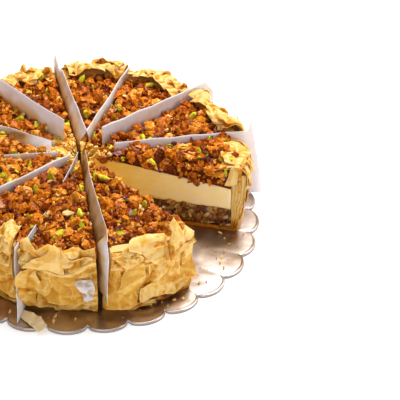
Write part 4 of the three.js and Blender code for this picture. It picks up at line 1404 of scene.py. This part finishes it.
def paper_sheet(cut, inner, past, foot, tops, lean, bow, bow_start, grease):
    """One sheet that stands in a cut, from a distance from the meeting point outwards, with its grease."""
    direction = math.radians(CUTS[cut][0])
    cos, sin = math.cos(direction), math.sin(direction)
    cake_offset = MEET_FROM_MIDDLE @ (cos, sin)
    at_rim, reach = WALL_INNER_RADIUS - cake_offset - NEAR_WALL, WALL_REACH - cake_offset
    u, v = np.meshgrid(*(np.linspace(0, 1, n + 1) for n in PAPER_STEPS), indexing="ij")
    end = reach + past[0] + (past[1] - past[0]) * v
    along = inner + (end - inner) * u
    stations = [inner, (inner + at_rim) / 2, reach, reach + max(past[1], 1)]
    top = np.interp(along, stations, tops) + 0.5 * drift(np.stack([along / 14, along * 0], -1), cut)
    bottom = foot + 0.4 * drift(np.stack([along / 9, along * 0], -1), cut + 20)
    height = bottom + (top - bottom) * v
    held = np.where(along < at_rim, TOPPING_TOP + ABOVE_TOPPING, RIM_TOP + ABOVE_RIM)
    stand, lower = SLANTED.get(cut, (0, 0))
    held = np.minimum(held - lower, top - 1)
    slope = lean[0] + (lean[1] - lean[0]) * ease(along, inner, reach)
    beside = stand + slope * ease(height, held, top) * ease(top, held, held + 8)
    bowed = ease(along, reach - bow_start, end - 0.5 * bow_start)
    beside = beside * (1 - bowed) + (bow[0] + (bow[1] - bow[0]) * ease(v, 0, 1)) * bowed
    # The sheet waves where nothing holds it.
    loose = np.maximum(ease(along, reach - 4, end), ease(height, held, held + 10))
    waves = drift(np.stack([along / 22, height / 45], -1), cut + 40)
    beside = beside + (0.15 + 0.7 * loose) * waves
    across = beside[..., None] + np.array([-0.5, 0.5]) * PAPER_THICKNESS
    x = MEET[0] + along[..., None] * cos - across * sin
    y = MEET[1] + along[..., None] * sin + across * cos
    z = np.broadcast_to(CAKE_FOOT + height[..., None], x.shape)
    greasy_values = grease * (0.75 - 0.75 * ease(height, *GREASE_FADES)) * (1 - 0.65 * bowed) + 0.1 * waves
    # The lattice runs along, up and across, so it is turned to keep its faces outwards.
    lattice = np.stack([x, y, z], axis=-1)[:, ::-1]
    return closed_block(lattice, np.stack([greasy_values, greasy_values], axis=-1)[:, ::-1])


for cut, *shape in PAPERS:
    points, faces, greasy_values = paper_sheet(cut, *shape)
    label = f"{cut:02d}"
    name = f"greaseproof_sheet_{label}"
    sheet = new_object(name, points, faces, paper, attributes={"greasy": greasy_values})
    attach(sheet, "root")
    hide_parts(f"paper_{label}")


# The torn pieces: a scrap of paper lies on the topping by its sheet, one clings to the shell of portion 10,
# and a flake of filo hangs over the card's edge.
def loose_sheet(rows, thickness, crush, fold, seed):
    """A crumpled sheet laid over rows of places in millimetres, from the nearest row back, and its places
    from left to right."""
    net = np.array(rows, dtype=float)
    grid = stretch(net, 8 * (net.shape[1] - 1), 8 * (net.shape[0] - 1))
    grid[..., 2] += crush * (1 + crumple(grid[..., :2] / fold, seed)) / 2
    return thin_sheet([grid + (0, 0, side * thickness / 2) for side in (-1, 1)], grid[..., 0])


LYING_SCRAP = [
    [(-52, 18, 50), (-44, 13, 49), (-38, 12, 49), (-32, 11, 49), (-25, 8, 49), (-19, 7, 49)],
    [(-50, 27, 61), (-46, 26, 62), (-40, 24, 62), (-32, 21, 62), (-24, 18, 61.5), (-18, 16, 61)],
]
points, faces, across = loose_sheet(LYING_SCRAP, PAPER_THICKNESS, crush=1.5, fold=7, seed=3)
# The grease has spread from its left end.
grease = {"greasy": 0.1 + 0.5 * ease(across, -26, -42)}
lying_scrap = new_object("paper_scrap_on_topping", points, faces, paper, smooth=False, attributes=grease)

CLINGING_SCRAP = [
    [(15, 17, 7.5), (18, 13, 8), (22, 16, 7.5)],
    [(13, 25, 8), (17, 25, 9), (23, 25, 8)],
    [(10, 34, 7), (15, 36, 8.5), (21, 34, 7)],
]
points, faces, browning_with_painted_shading = filo_sheet(
    portions[9], 7, CLINGING_SCRAP, crush=3, fold=4, shared=1, curl=0, ragged=0.8
)
# Its grease follows the sheet's browning values, so it carries their painted shade in the hollows and painted
# highlights on the ridges and edges.
grease = {"greasy": 0.12 + 0.4 * browning_with_painted_shading}
clinging_scrap = new_object("paper_scrap_on_shell", points, faces, paper, smooth=False, attributes=grease)
for scrap in (lying_scrap, clinging_scrap):
    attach(scrap, "root")

FLAKE = [
    [(-20, -141, CARD_TOP + 0.8), (-17, -140, CARD_TOP + 1.4), (-14, -136, CARD_TOP + 2.5)],
    [(-25, -135, CARD_TOP + 0.6), (-22, -131, CARD_TOP + 1.6), (-19, -127, CARD_TOP + 3)],
    [(-30, -129, CARD_TOP + 0.6), (-29, -126, CARD_TOP + 1.6), (-27, -121, CARD_TOP + 3)],
    [(-36, -121, CARD_TOP + 0.6), (-36, -119, CARD_TOP + 1), (-35, -117, CARD_TOP + 2)],
]
points, faces, _ = loose_sheet(FLAKE, FILO_THICKNESS, crush=1.6, fold=3, seed=4)
# The flake is painted paler than the shell's filo, as painted light that lifts it out of the cake's shadow.
filo_painted_lighter, tree, shader = new_material("filo flake painted lighter", Roughness=0.6, Specular_IOR_Level=0.25)
cloud = noise(tree, scale=150.0, detail=3.0, space="Generated")
wire(tree, shader, Base_Color=ramp(tree, cloud, [(0.3, "#DABE88"), (0.7, "#EFDCB0")]))
flake = new_object("filo_flake", points, faces, filo_painted_lighter, smooth=False)
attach(flake, "root")
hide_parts("filo_scrap")


# The crumbs on the card: chips of filo and bits of caramel that fell along the cake's foot and in the open
# gap.
CRUMBS = {
    "filo_crumbs": Kind("filo", chip_shapes, filo, 4.0, 11000, 1.3, 4.4, 0),
    "nut_crumbs": Kind("candied_nuts", crumb_shapes, amber, 3.0, 6000, 0.8, 2.2, 0),
}
# Where crumbs lie: middle, inner and outer radius, and first and last direction in degrees.
CRUMB_PATCHES = [((0, 0), 121, 130, 180, 355), (MEET, 30, 122, 314, 346)]
# Each crumb rests this far above the foil.
CRUMB_GAP = 0.02
CRUMB_SEED = 950


def crumb_patch(middle, inner, outer, first, last):
    """Part of a ring on the card's face for crumbs to fall on: radii, and directions in degrees."""
    radius, angle = np.meshgrid(
        np.linspace(inner, outer, 8), np.radians(np.linspace(first, last, 60)), indexing="ij"
    )
    x, y = middle[0] + radius * np.cos(angle), middle[1] + radius * np.sin(angle)
    points = np.stack([x, y, CARD_TOP + 0 * angle], -1)
    return points.reshape(-1, 3), grid_quads(np.arange(radius.size).reshape(radius.shape))


points, faces = join([crumb_patch(*patch) for patch in CRUMB_PATCHES])
ground = new_object("crumb_ground", points, faces, foil)
for n, (name, kind) in enumerate(CRUMBS.items()):
    points, faces, tints = scattered(ground, kind, CRUMB_SEED + n)
    corners = len(kind.shapes.objects[0].data.vertices)
    crumbs = points.reshape(-1, corners, 3)
    crumbs[..., 2] += CARD_TOP + CRUMB_GAP - crumbs[..., 2].min(axis=1, keepdims=True)
    crumb_piece = new_object(name, points, faces, kind.finish, smooth=False, attributes={"tint": tints})
    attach(crumb_piece, "root")
bpy.data.objects.remove(ground)
